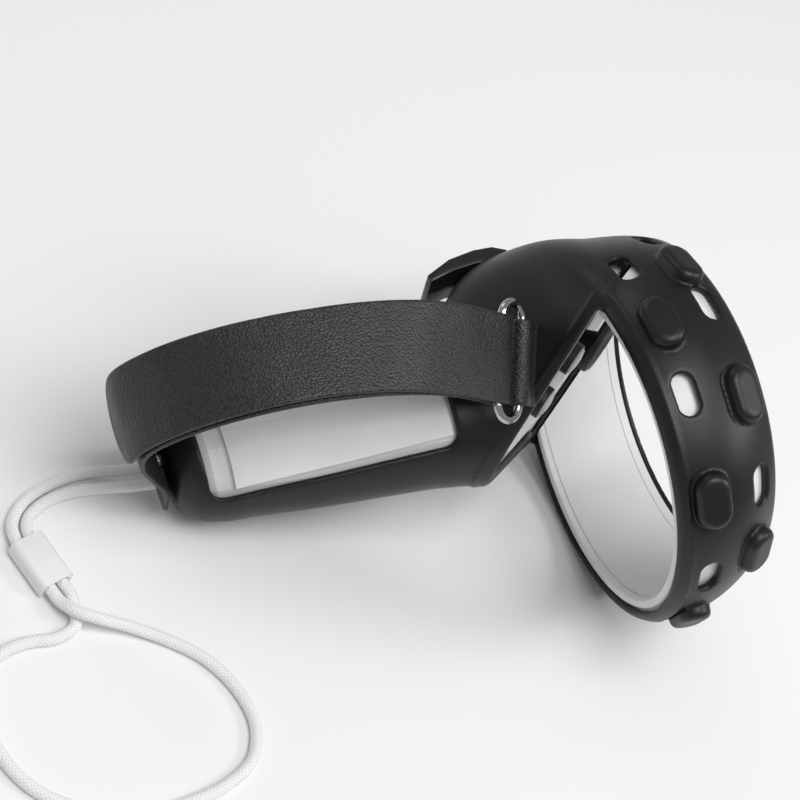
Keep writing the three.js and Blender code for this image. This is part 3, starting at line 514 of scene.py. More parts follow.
def braid_look():
    """Two families of strands that cross round the cord, from the tube's own UV map."""
    look = Look("braid", grey(0.82, 0.01), 0.8, Sheen_Weight=0.2, Sheen_Roughness=0.6)
    uv = look.nodes.new("ShaderNodeUVMap")
    uv.uv_map = "UVMap"
    split = look.nodes.new("ShaderNodeSeparateXYZ")
    look.links.new(uv.outputs["UV"], split.inputs["Vector"])
    round_it, along = split.outputs["X"], split.outputs["Y"]
    strands = []
    for sign in (1, -1):
        phase = look.maths("ADD", look.maths("MULTIPLY", round_it, sign * BRAID_STRANDS), along)
        strands.append(look.maths("SINE", look.maths("MULTIPLY", phase, 2 * math.pi)))
    height = look.spread(look.maths("MAXIMUM", *strands), 0, 1, -0.6, 1)
    fuzz = look.noise(5200, 3)
    painted_crease_shade_and_tone = look.maths("ADD", look.maths("MULTIPLY", height, 0.7), look.maths("MULTIPLY", fuzz, 0.3))
    # colour lighter on the strands' tops and darker in the hollows between them: painted shade in the braid, with
    # random fuzz over it
    look.colour(painted_crease_shade_and_tone, [(0.1, grey(0.72, 0.015)), (0.45, grey(0.84, 0.01)), (0.8, grey(0.88, 0.006))])
    look.bump(height, 0.00012, 0.7)
    return look.bump(fuzz, 0.00005, 0.5)


looks = {
    "silicone": silicone_look(),
    "white_plastic": moulded_look("white_plastic", grey(0.78, 0.004), 0.38),
    "ring_plastic": moulded_look("ring_plastic", grey(0.8, 0.004), 0.34),
    # the face plate's white plastic coloured mid grey: painted shade over the whole plate
    "plate": moulded_look("plate", grey(0.42), 0.4),
    "led_strip": moulded_look("led_strip", (0.25, 0.18, 0.07), 0.5, 1500),
    "black_plastic": moulded_look("black_plastic", grey(0.02), 0.42, 4200, 0.00003),
    "gloss_black": moulded_look("gloss_black", grey(0.014), 0.2, 1500, 0.000005),
    # a darker copy of the black plastic: painted shade on the thumbstick and the buttons' sides
    "shaded_black_plastic": moulded_look("shaded_black_plastic", grey(0.006), 0.5, 4200, 0.00003),
    # black plastic coloured mid grey: a painted highlight on the buttons' domed tops
    "button_cap": moulded_look("button_cap", grey(0.34), 0.3),
    "pad_rubber": moulded_look("pad_rubber", grey(0.1), 0.7),
    "board": board_look(),
    "steel": metal_look("steel", grey(0.6), 0.28),
    "motor_case": metal_look("motor_case", grey(0.62), 0.4, 2400),
    "cell_wrap": moulded_look("cell_wrap", (0.06, 0.09, 0.13), 0.3, 800),
    "strap_leather": leather_look(),
    "hook_tape": tape_look("hook_tape", grey(0.02), 1400),
    "loop_tape": tape_look("loop_tape", grey(0.03), 2400),
    "ring_metal": metal_look("ring_metal", grey(0.5, 0.01), 0.1, 400),
    "cord": braid_look(),
    "slider_plastic": moulded_look("slider_plastic", grey(0.8, 0.012), 0.5, 2400, 0.00003),
}

node_slot = {row["node"]: row["material_slot"] for row in frame["record"]["subparts"]}
for name, node in frame["nodes"].items():
    node.data.materials.clear()
    node.data.materials.append(looks[node_slot[name]].material)


# ---- Making pieces ----

def placed(name, mesh, body, slot, replaces):
    """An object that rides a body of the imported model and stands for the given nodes."""
    made = bpy.data.objects.new(name, mesh)
    bpy.context.collection.objects.link(made)
    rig.ride(made, body)
    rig.slot(made, slot)
    if replaces:
        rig.replaces(made, *replaces)
    return made


def piece(name, points, faces, look, replaces):
    """A smooth piece of the housing from points in the row frame, in metres."""
    mesh = bpy.data.meshes.new(name)
    mesh.from_pydata([tuple(p) for p in points], [], [tuple(f) for f in faces])
    mesh.polygons.foreach_set("use_smooth", [True] * len(mesh.polygons))
    mesh.materials.append(looks[look].material)
    mesh.validate()
    mesh.update()
    return placed(name, mesh, "housing", look, replaces)


def sweep_faces(rings, sides, closed=False):
    """Quads between successive rings of points, with flat caps unless the sweep is closed."""
    faces = []
    for i in range(rings if closed else rings - 1):
        a, b = i * sides, (i + 1) % rings * sides
        for j in range(sides):
            k = (j + 1) % sides
            faces.append((a + j, a + k, b + k, b + j))
    if not closed:
        faces.append(tuple(reversed(range(sides))))
        faces.append(tuple(range((rings - 1) * sides, rings * sides)))
    return faces


def centripetal(points, per_span):
    """A centripetal Catmull-Rom curve through the points."""
    points = [Vector(p) for p in points]
    points = [2 * points[0] - points[1], *points, 2 * points[-1] - points[-2]]
    curve = []
    for i in range(1, len(points) - 2):
        quad = points[i - 1 : i + 3]
        knots = [0.0]
        for a, b in zip(quad, quad[1:]):
            knots.append(knots[-1] + (b - a).length ** 0.5)
        for j in range(per_span):
            t = knots[1] + (knots[2] - knots[1]) * j / per_span
            a = [quad[k].lerp(quad[k + 1], (t - knots[k]) / (knots[k + 1] - knots[k])) for k in range(3)]
            b = [a[k].lerp(a[k + 1], (t - knots[k]) / (knots[k + 2] - knots[k])) for k in range(2)]
            curve.append(b[0].lerp(b[1], (t - knots[1]) / (knots[2] - knots[1])))
    return [*curve, points[-2]]


def lengths_along(curve):
    """Each point's distance from the curve's start."""
    return np.concatenate([[0], np.cumsum([(b - a).length for a, b in zip(curve, curve[1:])])])


def sampled(values, lengths, at):
    """Vectors known at lengths along a curve, at other places along it."""
    return [Vector(p) for p in zip(*(np.interp(at, lengths, [v[k] for v in values]) for k in range(3)))]


def even(curve, step):
    """The curve at equal steps of its length."""
    lengths = lengths_along(curve)
    count = max(2, round(lengths[-1] / step)) + 1
    return sampled(curve, lengths, np.linspace(0, lengths[-1], count))


def direction(line, i):
    """The unit direction of a line at its point i."""
    return (line[min(i + 1, len(line) - 1)] - line[max(i - 1, 0)]).normalized()


# ---- Lanyard ----

def lanyard():
    """The braided cord as a tube with a UV map: round the cord in U, along it in V."""
    line = even(centripetal(CORD_ROUTE, 12), CORD_STEP)
    sides, radius = 20, CORD_DIAMETER / 2
    normal = Vector((0, 0, 1))
    points = []
    for i, at in enumerate(line):
        run = direction(line, i)
        normal = (normal - normal.dot(run) * run).normalized()
        side = run.cross(normal)
        for j in range(sides):
            angle = j * 2 * math.pi / sides
            points.append((at + radius * (math.cos(angle) * normal + math.sin(angle) * side)) * MM)
    cord = piece("lanyard_braid", points, sweep_faces(len(line), sides), "cord", ["lanyard_cord"])
    uv = cord.data.uv_layers.new(name="UVMap").data
    for face in cord.data.polygons:
        corners = list(face.loop_indices)
        vertices = [cord.data.loops[c].vertex_index for c in corners]
        wraps = {v % sides for v in vertices} == {0, sides - 1}
        for corner, vertex in zip(corners, vertices):
            ring, j = divmod(vertex, sides)
            around = 1.0 if wraps and j == 0 else j / sides
            uv[corner].uv = (around, ring * CORD_STEP / BRAID_PITCH)
    return cord, [p * MM for p in line]


cord, cord_line = lanyard()
cord_length = sum((b - a).length for a, b in zip(cord_line, cord_line[1:]))
# Both ends are at the pin inside the butt, and the cord comes out of the butt's hole ten steps along
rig.cord(
    cord,
    exit=cord_line[10],
    length=cord_length,
    diameter=CORD_DIAMETER * MM,
    far_end="object",
    stiffness="limp",
    lay="loose",
    path=cord_line,
    with_pieces=["cord_slider"],
)


# ---- Shapes as distance fields, for the moulded pieces ----

def smooth_max(a, b, radius):
    """The larger of two fields, with the edge between them rounded."""
    overlap = np.maximum(radius - np.abs(a - b), 0) / radius
    return np.maximum(a, b) + overlap * overlap * radius / 4


def smooth_min(a, b, radius):
    """The smaller of two fields, with the corner between them filled."""
    return -smooth_max(-a, -b, radius)


def largest(*fields):
    """The space that all the fields share, with sharp edges."""
    return reduce(np.maximum, fields)


def band_radius(z, inset=0.0):
    """The band's outer radius at z, less an inset."""
    return BAND_MID - BAND_TILT * z - BAND_DOME * z * z - inset


def smooth_rows(z):
    """BODY's centre y, half width and half depth at each z, on a smooth curve through its rows."""
    rows = np.array(BODY[::-1], float)
    heights, values = rows[:, 0], rows[:, 1:]
    slopes = np.gradient(values, heights, axis=0)
    z = np.clip(z, heights[0], heights[-1])
    i = np.clip(np.searchsorted(heights, z) - 1, 0, len(heights) - 2)
    span = (heights[i + 1] - heights[i])[:, None]
    t = ((z - heights[i]) / span[:, 0])[:, None]
    start, end = values[i], values[i + 1]
    return (
        (2 * t**3 - 3 * t**2 + 1) * start
        + (t**3 - 2 * t**2 + t) * span * slopes[i]
        + (3 * t**2 - 2 * t**3) * end
        + (t**3 - t**2) * span * slopes[i + 1]
    )


class Field:
    """A grid of the design frame, and fields over it as distances in millimetres, negative inside."""

    def __init__(self, low, high, cell):
        self.low, self.cell = np.array(low, float), cell
        counts = np.ceil((np.array(high) - self.low) / cell).astype(int) + 1
        axes = [self.low[k] + cell * np.arange(counts[k], dtype=np.float32) for k in range(3)]
        self.x, self.y, self.z = np.meshgrid(*axes, indexing="ij", sparse=True)
        self.shape = tuple(counts)

    def body(self):
        """The head and handle, without any opening."""
        rows = smooth_rows(self.z.ravel()).astype(np.float32)
        centre, half_width, half_depth = (rows[:, k][None, None, :] for k in range(3))
        across, deep = self.x / half_width, (self.y - centre) / half_depth
        level = np.sqrt(across * across + deep * deep)
        steep = np.sqrt((across / half_width) ** 2 + (deep / half_depth) ** 2) / np.maximum(level, 1e-3)
        flat = (level - 1) / np.maximum(steep, 1e-3)
        slope = np.gradient(half_depth[0, 0] + half_width[0, 0], self.cell)[None, None, :] / 2
        flat = flat / np.sqrt(1 + slope * slope)
        ends = np.maximum(BUTT - self.z, self.z - BODY[0][0])
        return smooth_max(flat, ends + np.zeros(self.shape, np.float32), 2.4)

    def above_face(self):
        """Distance above the tilted plane of the face."""
        tilt = math.radians(FACE_TILT)
        lean = -math.sin(tilt) * (self.y - FACE_ORIGIN[1]) + math.cos(tilt) * (self.z - FACE_ORIGIN[2])
        return lean + np.zeros(self.shape, np.float32)

    def radius(self):
        """Distance from the ring's sheared axis."""
        return np.hypot(self.x, self.y - BAND_SHEAR * (self.z - BAND_LOW))

    def band_surface(self, inset=0.0):
        """Distance round the ring's axis from the band's outside, or from a surface inset in it."""
        return self.radius() - band_radius(self.z, inset)

    def local(self, matrix, reach):
        """The grid's cells within reach of a placed shape, and their coordinates in its frame."""
        centre = np.array(matrix.translation)
        first = np.maximum(np.floor((centre - reach - self.low) / self.cell).astype(int), 0)
        last = np.minimum(np.ceil((centre + reach - self.low) / self.cell).astype(int) + 1, self.shape)
        part = tuple(slice(start, end) for start, end in zip(first, last))
        x, y, z = self.x[part[0]], self.y[:, part[1]], self.z[:, :, part[2]]
        back = np.array(matrix.inverted())
        return part, [back[k, 0] * x + back[k, 1] * y + back[k, 2] * z + back[k, 3] for k in range(3)]

    def surface(self, field):
        """Points in the row frame and faces of the field's zero surface."""
        grid = openvdb.FloatGrid(background=3.0)
        grid.copyFromArray(np.clip(field / self.cell, -3, 3).astype(np.float32))
        points, triangles, quads = grid.convertToPolygons(isovalue=0.0, adaptivity=0.0)
        faces = [tuple(f[::-1]) for f in triangles.tolist()] + [tuple(f[::-1]) for f in quads.tolist()]
        return laid(points * self.cell + self.low), faces


def on_band(angle, z):
    """A place on the band: x round the ring, y along its axis, z outwards."""
    shear = Matrix.Identity(4)
    shear[1][2], shear[1][3] = BAND_SHEAR, -BAND_SHEAR * BAND_LOW
    turn = Matrix.Rotation(math.radians(angle), 4, "Z")
    at = shear @ turn @ Vector((band_radius(z), 0, z))
    out = turn.to_3x3() @ Vector((1, 0, BAND_TILT + 2 * BAND_DOME * z)).normalized()
    round_it = Vector((0, 0, 1)).cross(out).normalized()
    axes = Matrix((round_it, out.cross(round_it), out)).transposed().to_4x4()
    return Matrix.Translation(at) @ axes


def pill_distance(u, v, size):
    """Distance from a pill's outline, its length along u."""
    length, width = size
    return np.hypot(np.maximum(np.abs(u) - (length - width) / 2, 0), v) - width / 2


def box_distance(coordinates, low, high, rounding):
    """Distance from a box with rounded edges."""
    far = [np.abs(c - (a + b) / 2) - (b - a) / 2 + rounding for c, a, b in zip(coordinates, low, high)]
    outside = np.sqrt(sum(np.maximum(f, 0) ** 2 for f in far))
    return outside + np.minimum(largest(*far), 0) - rounding


def cover_outside(grid, body, above):
    """The body and the band in one, with a low bead on both sides of their fold, and the bumps."""
    skin = smooth_max(body, above, 1.6)
    edge = smooth_max(grid.z - BAND_TOP, BAND_LOW - grid.z, 1.0)
    band = smooth_max(grid.band_surface(), edge + np.zeros(grid.shape, np.float32), 2.2)
    band = smooth_max(band, MOUTH_RADIUS - grid.radius(), 0.8)
    skin = smooth_min(skin, band, 2.0)
    body_bead = np.hypot(body + BEAD_SUNK, above + BEAD_INSET) - BEAD_RADIUS
    band_bead = np.hypot(grid.band_surface(BEAD_SUNK), grid.z - BAND_LOW - BEAD_INSET) - BEAD_RADIUS
    skin = smooth_min(skin, np.maximum(body_bead, grid.z - BEAD_TOP), 0.6)
    skin = smooth_min(skin, np.maximum(band_bead, -above), 0.6)
    for angle, z in BUMPS:
        part, (u, v, w) = grid.local(on_band(angle, z), BUMP_REACH)
        outline = pill_distance(u, v, BUMP_SIZE[:2])
        off_groove = np.maximum(np.abs(outline - GROOVE_OUT) - GROOVE_FLAT, 0)
        groove = np.hypot(off_groove, w + GROOVE_SUNK) - GROOVE_RADIUS
        skin[part] = smooth_max(skin[part], -groove, 0.3)
        bump = smooth_max(outline, np.abs(w) - BUMP_SIZE[2], 2.4)
        skin[part] = smooth_min(skin[part], bump, 0.4)
    return skin


def cover_room(grid, body, above):
    """The room for the shells and the ring's seat, with a lip left over the face and one under the ring."""
    seat = largest(grid.z - RING_TOP - GAP, BAND_LOW + RIM_LIP - grid.z, grid.band_surface(SILICONE))
    rim = largest(grid.radius() - RIM_LIP_RADIUS, BAND_LOW - 1 - grid.z, grid.z)
    seat = np.maximum(np.minimum(seat, rim), CORE_RADIUS - grid.radius())
    room = smooth_min(np.maximum(body + SILICONE, grid.z - ROOM_TOP), seat, 0.5)
    room = np.maximum(room, -np.maximum(above, -above - FACE_LIP))
    within = np.minimum(grid.radius() - MOUTH_RADIUS, grid.z - BAND_LOW)
    face_opening = largest(body + SILICONE + FACE_LIP_REACH, grid.z - ROOM_TOP, within)
    return np.minimum(room, face_opening)


def cover_openings(grid):
    """Each opening through the body's wall, and the rounding of its edge."""
    here = (grid.x, grid.y, grid.z)
    low, high = zip((-TRIGGER_SLOT_HALF, TRIGGER_SLOT_HALF), TRIGGER_SLOT_Y, TRIGGER_SLOT_Z)
    yield box_distance(here, low, high, SLOT_ROUND), 0.8
    turn = math.radians(-GRIP_TURN)
    deep = grid.y - GRIP_CENTRE_Y
    turned_x = math.cos(turn) * grid.x - math.sin(turn) * deep
    turned_y = math.sin(turn) * grid.x + math.cos(turn) * deep + GRIP_CENTRE_Y
    low, high = zip((-GRIP_SLOT_HALF, GRIP_SLOT_HALF), GRIP_SLOT_Y, GRIP_SLOT_Z)
    yield box_distance((turned_x, turned_y, grid.z), low, high, SLOT_ROUND), 0.8
    yield door_opening(grid), 0.8
    lanyard_x = (LANYARD_X - LANYARD_HALF, LANYARD_X + LANYARD_HALF)
    low, high = zip(lanyard_x, LANYARD_Y, (BUTT - 3, BUTT_INSIDE))
    yield box_distance(here, low, high, 1.2), 0.5
    rivet = np.hypot(grid.x - RIVET_AT[0], grid.y - RIVET_AT[1]) - RIVET_HOLE
    yield np.maximum(rivet, grid.z - BUTT_INSIDE), 0.3


def door_opening(grid):
    """The wedge on the palm side that the battery door lies in and slides along."""
    low, high = DOOR_LOW - DOOR_TRAVEL - DOOR_MARGIN, DOOR_HIGH + DOOR_MARGIN
    middle = smooth_rows(np.array([(low + high) / 2]))[0, 0]
    half = math.radians(DOOR_HALF_ANGLE + DOOR_SPREAD)
    off = np.abs(grid.y - middle)
    wedge = (grid.x - DOOR_APEX_X) * math.sin(half) + off * math.cos(half)
    ends = np.maximum(grid.z - high, low - grid.z) + np.zeros(grid.shape, np.float32)
    return smooth_max(wedge, ends, DOOR_CORNER)


def cover():
    """The silicone cover: one moulding, open at the face, the trigger, the grip and the battery door."""
    grid = Field(*GRID, QUICK_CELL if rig.quick() else CELL)
    body, above = grid.body(), grid.above_face()
    skin = cover_outside(grid, body, above)
    skin = smooth_max(skin, -cover_room(grid, body, above), 0.7)
    through = np.maximum(grid.radius() - MOUTH_RADIUS, np.abs(grid.z) - BAND_TOP - 1)
    skin = smooth_max(skin, -np.maximum(through, CORE_RADIUS - grid.radius()), 0.6)
    for angle, z in WINDOWS:
        part, (u, v, w) = grid.local(on_band(angle, z), WINDOW_REACH)
        window = np.maximum(pill_distance(u, v, WINDOW_SIZE), np.abs(w) - WINDOW_DEPTH)
        skin[part] = smooth_max(skin[part], -window, 0.7)
    for opening, rounding in cover_openings(grid):
        skin = smooth_max(skin, -opening, rounding)
    points, faces = grid.surface(skin)
    return piece("cover", points, faces, "silicone", ["silicone_cover"])


cover()


# ---- Ring, face, levers and buttons ----

def revolved(name, profile, look, replaces, segments=240):
    """A ring of revolution that follows the band's shear, cut off at the face plane."""
    mesh = bmesh.new()
    rings = []
    for i in range(segments):
        angle = i * 2 * math.pi / segments
        ring = []
        for radius, z in profile:
            y = radius * math.sin(angle) + BAND_SHEAR * (z - BAND_LOW)
            ring.append(mesh.verts.new((radius * math.cos(angle), y, z)))
        rings.append(ring)
    for i in range(segments):
        a, b = rings[i], rings[(i + 1) % segments]
        for j in range(len(profile)):
            k = (j + 1) % len(profile)
            mesh.faces.new((a[j], b[j], b[k], a[k]))
    normal = FACE.to_3x3() @ Vector((0, 0, -1))
    at = FACE @ Vector((0, 0, GAP))
    geometry = [*mesh.verts, *mesh.edges, *mesh.faces]
    cut = bmesh.ops.bisect_plane(mesh, geom=geometry, plane_co=at, plane_no=normal, clear_outer=True)
    edges = [e for e in cut["geom_cut"] if isinstance(e, bmesh.types.BMEdge)]
    bmesh.ops.edgeloop_fill(mesh, edges=edges)
    return from_bmesh(name, mesh, look, replaces, "housing", look)


def from_bmesh(name, mesh, look, replaces, body, slot):
    """A piece from a bmesh in the design frame."""
    bmesh.ops.transform(mesh, matrix=LAID, verts=mesh.verts)
    bmesh.ops.recalc_face_normals(mesh, faces=mesh.faces)
    return finished(name, mesh, look, replaces, body, slot)


def finished(name, mesh, look, replaces, body, slot):
    """A piece from a bmesh in the row frame, shaded smooth except over sharp edges."""
    for edge in mesh.edges:
        edge.smooth = not edge.is_manifold or edge.calc_face_angle(0) < SHARP
    for face in mesh.faces:
        face.smooth = True
    data = bpy.data.meshes.new(name)
    mesh.to_mesh(data)
    mesh.free()
    data.materials.append(looks[look].material)
    return placed(name, data, body, slot, replaces)


def softened(node, name, look=None, width=0.2):
    """A copy of a CAD node with its hard edges rounded and its curves shaded smooth."""
    mesh = bmesh.new()
    mesh.from_mesh(frame["nodes"][node].data)
    bmesh.ops.remove_doubles(mesh, verts=mesh.verts, dist=1e-6)
    bmesh.ops.dissolve_limit(mesh, angle_limit=math.radians(1), verts=mesh.verts, edges=mesh.edges)
    hard = [e for e in mesh.edges if e.is_manifold and e.calc_face_angle(0) > SHARP]
    bmesh.ops.bevel(
        mesh,
        geom=hard,
        offset=width * MM,
        offset_type="OFFSET",
        segments=2,
        profile=0.5,
        affect="EDGES",
        clamp_overlap=True,
    )
    bodies = frame["record"]["behaviour"]["bodies"]
    rides = next(b for b, nodes in bodies.items() if node in nodes)
    return finished(name, mesh, look or node_slot[node], [node], rides, node_slot[node])


def ring_profile():
    """The white inner ring's section, with a fine line near each rim."""
    foot, edge = SILICONE + GAP, 0.4
    near, far = BAND_LOW + RIM_RECESS, RING_TOP
    lip, wall = RIM_LIP_RADIUS - GAP, RING_INNER + RING_WALL
    profile = [(RING_INNER, near + edge), (RING_INNER + edge, near), (lip - edge, near)]
    profile += [(lip, near + edge), (lip, SEAT_LOW)]
    profile += [(band_radius(SEAT_LOW, foot), z) for z in (SEAT_LOW, SEAT_LOW + RING_FLANGE)]
    profile += [(wall, z) for z in (SEAT_LOW + RING_FLANGE, far - TOP_FLANGE)]
    profile += [(band_radius(z, foot), z) for z in (far - TOP_FLANGE, far)]
    profile += [(RING_INNER + edge, far), (RING_INNER, far - edge)]
    for z in (far - 2.6, near + 2):
        profile += [(RING_INNER, z + 0.25), (RING_INNER + 0.3, z + 0.12)]
        profile += [(RING_INNER + 0.3, z - 0.12), (RING_INNER, z - 0.25)]
    return profile


def outer_band_profile():
    """The outer ring shell's section, between the inner ring's two flanges."""
    low, high = SEAT_LOW + RING_FLANGE + GAP, RING_TOP - TOP_FLANGE - GAP
    heights = [low + (high - low) * i / 12 for i in range(13)]
    outside = [(band_radius(z, SILICONE + GAP), z) for z in heights]
    inside = [(band_radius(z, SILICONE + GAP + RING_WALL), z) for z in reversed(heights)]
    return outside + inside


revolved("ring_inner", ring_profile(), "white_plastic", ["ring_inner_shell"])
revolved("ring_outer", outer_band_profile(), "ring_plastic", ["ring_outer_shell"])

for node in ("face_surround", "button_pad", "trigger_bracket", "grip_bracket", "battery_tray"):
    softened(node, node + "_edged", width=0.12)
softened("battery_door", "battery_door_edged", width=0.35)
softened("trigger", "trigger_curved", "gloss_black", width=0.7)
softened("grip_button", "grip_button_curved", width=0.6)
softened("cord_slider", "cord_slider_rounded", "slider_plastic", width=0.45)
# the white face plate takes the mid grey look, painted shade
softened("face_plate", "face_plate_edged", "plate", width=0.12)


def on_face(name, profile, place, look, replaces, body, slot, sides=72):
    """A solid of revolution about the face plane's normal at a place on it, from (radius, height)."""
    mesh = bmesh.new()
    rings = []
    for radius, height in profile:
        ring = []
        for i in range(sides if radius else 1):
            angle = i * 2 * math.pi / sides
            at = Vector((place[0] + radius * math.cos(angle), place[1] + radius * math.sin(angle), height))
            ring.append(mesh.verts.new(FACE @ at))
        rings.append(ring)
    for a, b in zip(rings, rings[1:]):
        for i in range(sides):
            k = (i + 1) % sides
            corners = [a[i % len(a)], a[k % len(a)], b[k % len(b)], b[i % len(b)]]
            mesh.faces.new(list(dict.fromkeys(corners)))
    return from_bmesh(name, mesh, look, replaces, body, slot)


def rounded_edge(radius, height, size, steps=6):
    """Profile points round an outer edge, from its side up to its top."""
    turn = [math.pi / 2 * i / steps for i in range(steps + 1)]
    return [(radius - size + size * math.cos(t), height - size + size * math.sin(t)) for t in turn]


def button(name, node, place, radius, top, body):
    """A button: black sides and flange, darker as painted shade, and a domed cap set into it, black plastic coloured
    grey as a painted highlight.
    """
    under, rim = -PLATE_DEPTH - PLATE_THICK - GAP, top - CAP_DEPTH
    foot = radius + BUTTON_FLANGE
    sides = [(0, BUTTON_LOW), (foot, BUTTON_LOW), (foot, under), (radius, under)]
    sides += [*rounded_edge(radius, rim, 0.25), (radius - 0.55, rim), (0, rim)]
    # the sides and flange take the darker copy of the black plastic, painted shade
    on_face(name + "_sides", sides, place, "shaded_black_plastic", [node], body, "black_plastic")
    base, across, rise = rim + 0.01, radius - CAP_INSET, top + 0.1 - rim
    turn = [math.pi / 2 * i / 10 for i in range(10)]
    cap = [(0, base)]
    cap += [(across * math.cos(t), base + rise * math.sin(t)) for t in turn]
    cap.append((0, base + rise))
    # the cap is black plastic, coloured grey as a painted highlight
    on_face(name + "_cap", cap, place, "button_cap", [], body, "black_plastic")


button("upper_button", "button_upper", UPPER_AT, BUTTON_RADIUS, BUTTON_TOP, "upper_button")
button("lower_button", "button_lower", LOWER_AT, BUTTON_RADIUS, BUTTON_TOP, "lower_button")
button("menu", "menu_button", MENU_AT, MENU_RADIUS, MENU_TOP, "menu")


def thumbstick():
    """The stick: a stem, a wide cap with a rounded rim, and a fine ring of teeth round its hollow."""
    profile = [(0, PIVOT - 1.2), (1, PIVOT - 1.2), (1, -8), (1.3, -5.5), (1.9, -3)]
    profile += [(3.2, 0), (4.6, 0.35), (6.4, 0.5), (STICK_CAP - 0.4, 0.75), (STICK_CAP, 1.1)]
    profile += [*rounded_edge(STICK_CAP, 2.9, 0.7), (6.6, 3.2), (6.3, 3.35), (5.9, 3.3)]
    profile += [(5.6, 3.05), (5.4, 3.2), (5.1, 3.15), (4.9, 2.9), (4.6, 2.95), (4.3, 2.75)]
    profile += [(2, 2.5), (0, 2.45)]
    # the stick takes the darker copy of the black plastic, painted shade
    on_face("thumbstick_cap", profile, STICK_AT, "shaded_black_plastic", ["thumbstick"], "stick", "black_plastic")


thumbstick()


# ---- Strap ----

# The metal ring's axes: across the strap, along it away from the handle, and out of the hand
ring_across = RING_ACROSS.normalized()
ring_along = (RING_ALONG - RING_ALONG.dot(ring_across) * ring_across).normalized()
ring_out = ring_along.cross(ring_across)
ring_axes = Matrix((ring_along, ring_across, ring_out)).transposed().to_4x4()
RING = Matrix.Translation(RING_CENTRE) @ ring_axes


def smoothstep(value, low, high):
    """0 below low and 1 above high, with a smooth rise between them."""
    share = min(max((value - low) / (high - low), 0), 1)
    return share * share * (3 - 2 * share)


def strap_stations():
    """(place, direction across) along the strap, from the butt round the ring to the tail's end."""
    points = [Vector(p) for p in STRAP_ROUTE]
    last = len(points) - 1
    inner, outer = [], []
    for i, at in enumerate(points):
        run = direction(points, i)
        share = smoothstep(i, last - 5, last)
        across = Vector((0, 1, 0)).lerp(ring_across, share)
        across = (across - across.dot(run) * run).normalized()
        spacing = LAYER_SPACING + (0.6 if i == last else 0)
        inner.append((at, across))
        if i >= TAIL_START:
            outer.append((at + run.cross(across) * spacing, across))
    fold = []
    radius = SLEEVE + STRAP_THICK / 2
    for degrees in (-80, -40, 0, 40, 80):
        angle = math.radians(degrees)
        at = RING @ Vector((-BAR_SPACING + radius * math.cos(angle), 0, radius * math.sin(angle)))
        fold.append((at, ring_across.copy()))
    return [*inner, *fold, *reversed(outer)]


def strip_line(stations, round_end, step):
    """A strip's places, its directions across, and their distances from the far end."""
    line = centripetal([at for at, _ in stations], SPAN_STEPS)
    spans = zip(stations, stations[1:])
    acrosses = [a.lerp(b, j / SPAN_STEPS) for (_, a), (_, b) in spans for j in range(SPAN_STEPS)]
    acrosses.append(stations[-1][1])
    lengths = lengths_along(line)
    total = lengths[-1]
    at = np.linspace(0, total, round(total / step) + 1)
    if round_end:  # closer places where the end turns
        near = total - round_end * (1 - np.cos(np.linspace(0, math.pi / 2, 24)))
        at = np.unique(np.concatenate([at[at < total - round_end], near]))
    return sampled(line, lengths, at), sampled(acrosses, lengths, at), total - at


def strip_section(half, columns=28):
    """Points round a strip's section, as (share of the half width, height), with rolled edges."""
    for face in (1, -1):
        for j in range(columns + 1):
            share = math.sin((j / columns - 0.5) * math.pi)
            edge = min((half - abs(share) * half) / EDGE_ROLL, 1)
            rise = STRAP_THICK / 2 * min(1, math.sqrt(1 - (1 - edge) ** 2) + 0.02)
            yield share * face, rise * face


def leather_strip(name, stations, width, replaces, round_end=0.0, step=0.8):
    """A leather strip with rolled edges, and a far end whose corners have the given radius."""
    line, acrosses, to_end = strip_line(stations, round_end, step)
    points = []
    for i, place in enumerate(line):
        run = direction(line, i)
        across = (acrosses[i] - acrosses[i].dot(run) * run).normalized()
        out = run.cross(across)
        half = width / 2
        if to_end[i] < round_end:
            half -= round_end * (1 - math.sqrt(max(1 - (1 - to_end[i] / round_end) ** 2, 0)))
            half = max(half, width / 2 - round_end + 0.05)
        for share, rise in strip_section(half):
            points.append(place + across * (share * half) + out * rise)
    sides = len(points) // len(line)
    points = laid([tuple(p) for p in points])
    return piece(name, points, sweep_faces(len(line), sides), "strap_leather", replaces)


leather_strip("strap_leather", strap_stations(), STRAP_WIDTH, ["strap"], STRAP_END_ROUND)


def strap_ring():
    """The oval ring of polished wire."""
    reach, half = BAR_SPACING / 2, STRAP_WIDTH / 2 - 0.2
    centres = []
    for start, sign in ((0, 1), (math.pi, -1)):
        for i in range(25):
            angle = start + i * math.pi / 24
            centres.append((reach * math.cos(angle) - reach, sign * half + reach * math.sin(angle)))
    line = [Vector((x, y, 0)) for x, y in centres]
    sides, points = 24, []
    for i, at in enumerate(line):
        run = (line[(i + 1) % len(line)] - line[i - 1]).normalized()
        out = Vector((run.y, -run.x, 0))
        for j in range(sides):
            angle = j * 2 * math.pi / sides
            spot = at + RING_WIRE * (math.cos(angle) * out + math.sin(angle) * Vector((0, 0, 1)))
            points.append(RING @ spot)
    points = laid([tuple(p) for p in points])
    faces = sweep_faces(len(line), sides, closed=True)
    piece("strap_ring_wire", points, faces, "ring_metal", ["strap_ring"])


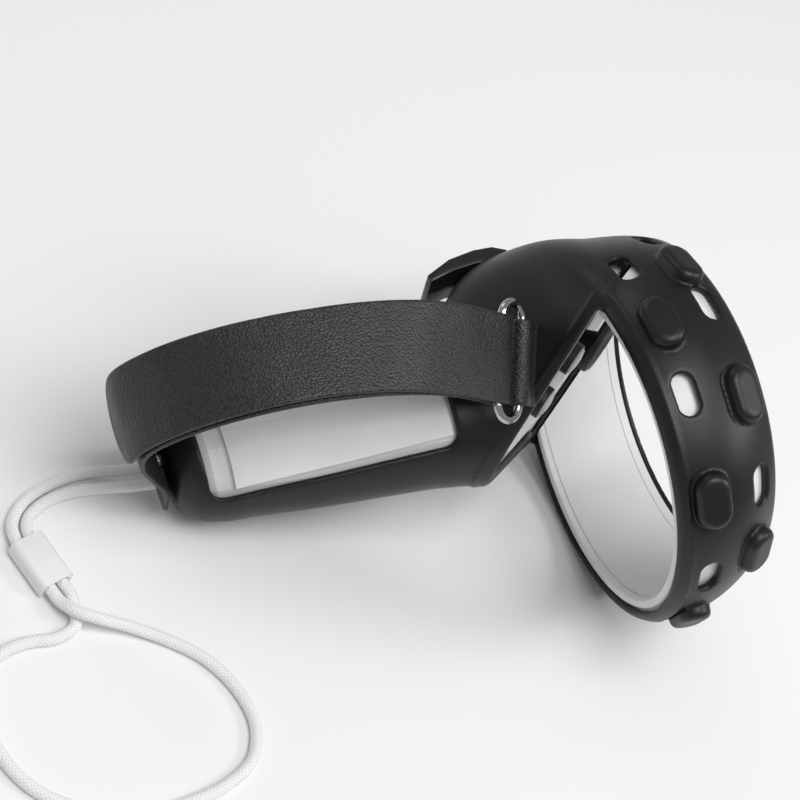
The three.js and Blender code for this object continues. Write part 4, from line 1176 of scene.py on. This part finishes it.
def anchor_stations():
    """The anchor: up out of the handle, round the ring's inner bar, and back down into the handle."""
    radius = SLEEVE + STRAP_THICK / 2
    layer = STRAP_THICK / 2 + 0.02
    path = [(5.6, -9), (5.6, -6), (5.5, -3), (5.1, -0.6)]
    path += [(4.4, layer), (3.2, layer + 0.1), (2, layer + 0.5)]
    turn = [math.radians(degrees) for degrees in range(60, 301, 20)]
    path += [(radius * math.cos(t), radius * math.sin(t)) for t in turn]
    path += [(2, -layer - 0.5), (3, -layer - 0.1), (3.7, -layer - 0.8)]
    path += [(4.1, -3), (4.2, -6), (4.2, -9)]
    return [(RING @ Vector((x, 0, z)), ring_across.copy()) for x, z in path]


strap_ring()
leather_strip("anchor_leather", anchor_stations(), STRAP_WIDTH - 0.6, ["anchor_loop"], step=0.4)
softened("strap_rivet", "strap_rivet_edged", width=0.1)


# ---- Floor and lights ----

FLOOR_REACH = 4.0
LIGHT_AIM = Vector((0, 0, 0.045))


def floor():
    """A plain pale floor."""
    corners = [(x * FLOOR_REACH, y * FLOOR_REACH, 0) for x, y in ((-1, -1), (1, -1), (1, 1), (-1, 1))]
    mesh = bpy.data.meshes.new("floor")
    mesh.from_pydata(corners, [], [(0, 1, 2, 3)])
    look = Look("floor", grey(0.86), 0.9)
    look.rough(look.noise(3, 2), 0.85, 0.95)
    mesh.materials.append(look.material)
    made = bpy.data.objects.new("floor", mesh)
    bpy.context.collection.objects.link(made)
    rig.stage(made)


def softbox(name, place, size, power):
    """A square light in the picture's axes (right, up, towards the camera), aimed at the model."""
    data = bpy.data.lights.new(name, "AREA")
    data.shape = "SQUARE"
    data.size = size
    data.energy = power
    light = bpy.data.objects.new(name, data)
    off = place[0] * view_right + place[1] * view_up + place[2] * view_back
    facing = off.to_track_quat("Z", "Y").to_matrix().to_4x4()
    light.matrix_world = Matrix.Translation(LIGHT_AIM + off) @ facing
    bpy.context.collection.objects.link(light)


floor()
softbox("key", (0.45, 0.3, 0.9), 0.6, 6.8)
softbox("side", (0.98, 0.1, 0.3), 0.3, 3)
softbox("top", (-0.3, 1.0, 0.2), 0.4, 0.9)
world = bpy.data.worlds.new("world")
world.use_nodes = True
world.node_tree.nodes["Background"].inputs["Color"].default_value = (0.96, 0.97, 0.98, 1)
world.node_tree.nodes["Background"].inputs["Strength"].default_value = 0.36
bpy.context.scene.world = world
bpy.context.scene.view_settings.view_transform = "Standard"

with open("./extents.json", "w") as file:
    json.dump({"cad": [list(c) for c in cad_box], "visual": [list(c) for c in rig.bounds()]}, file)
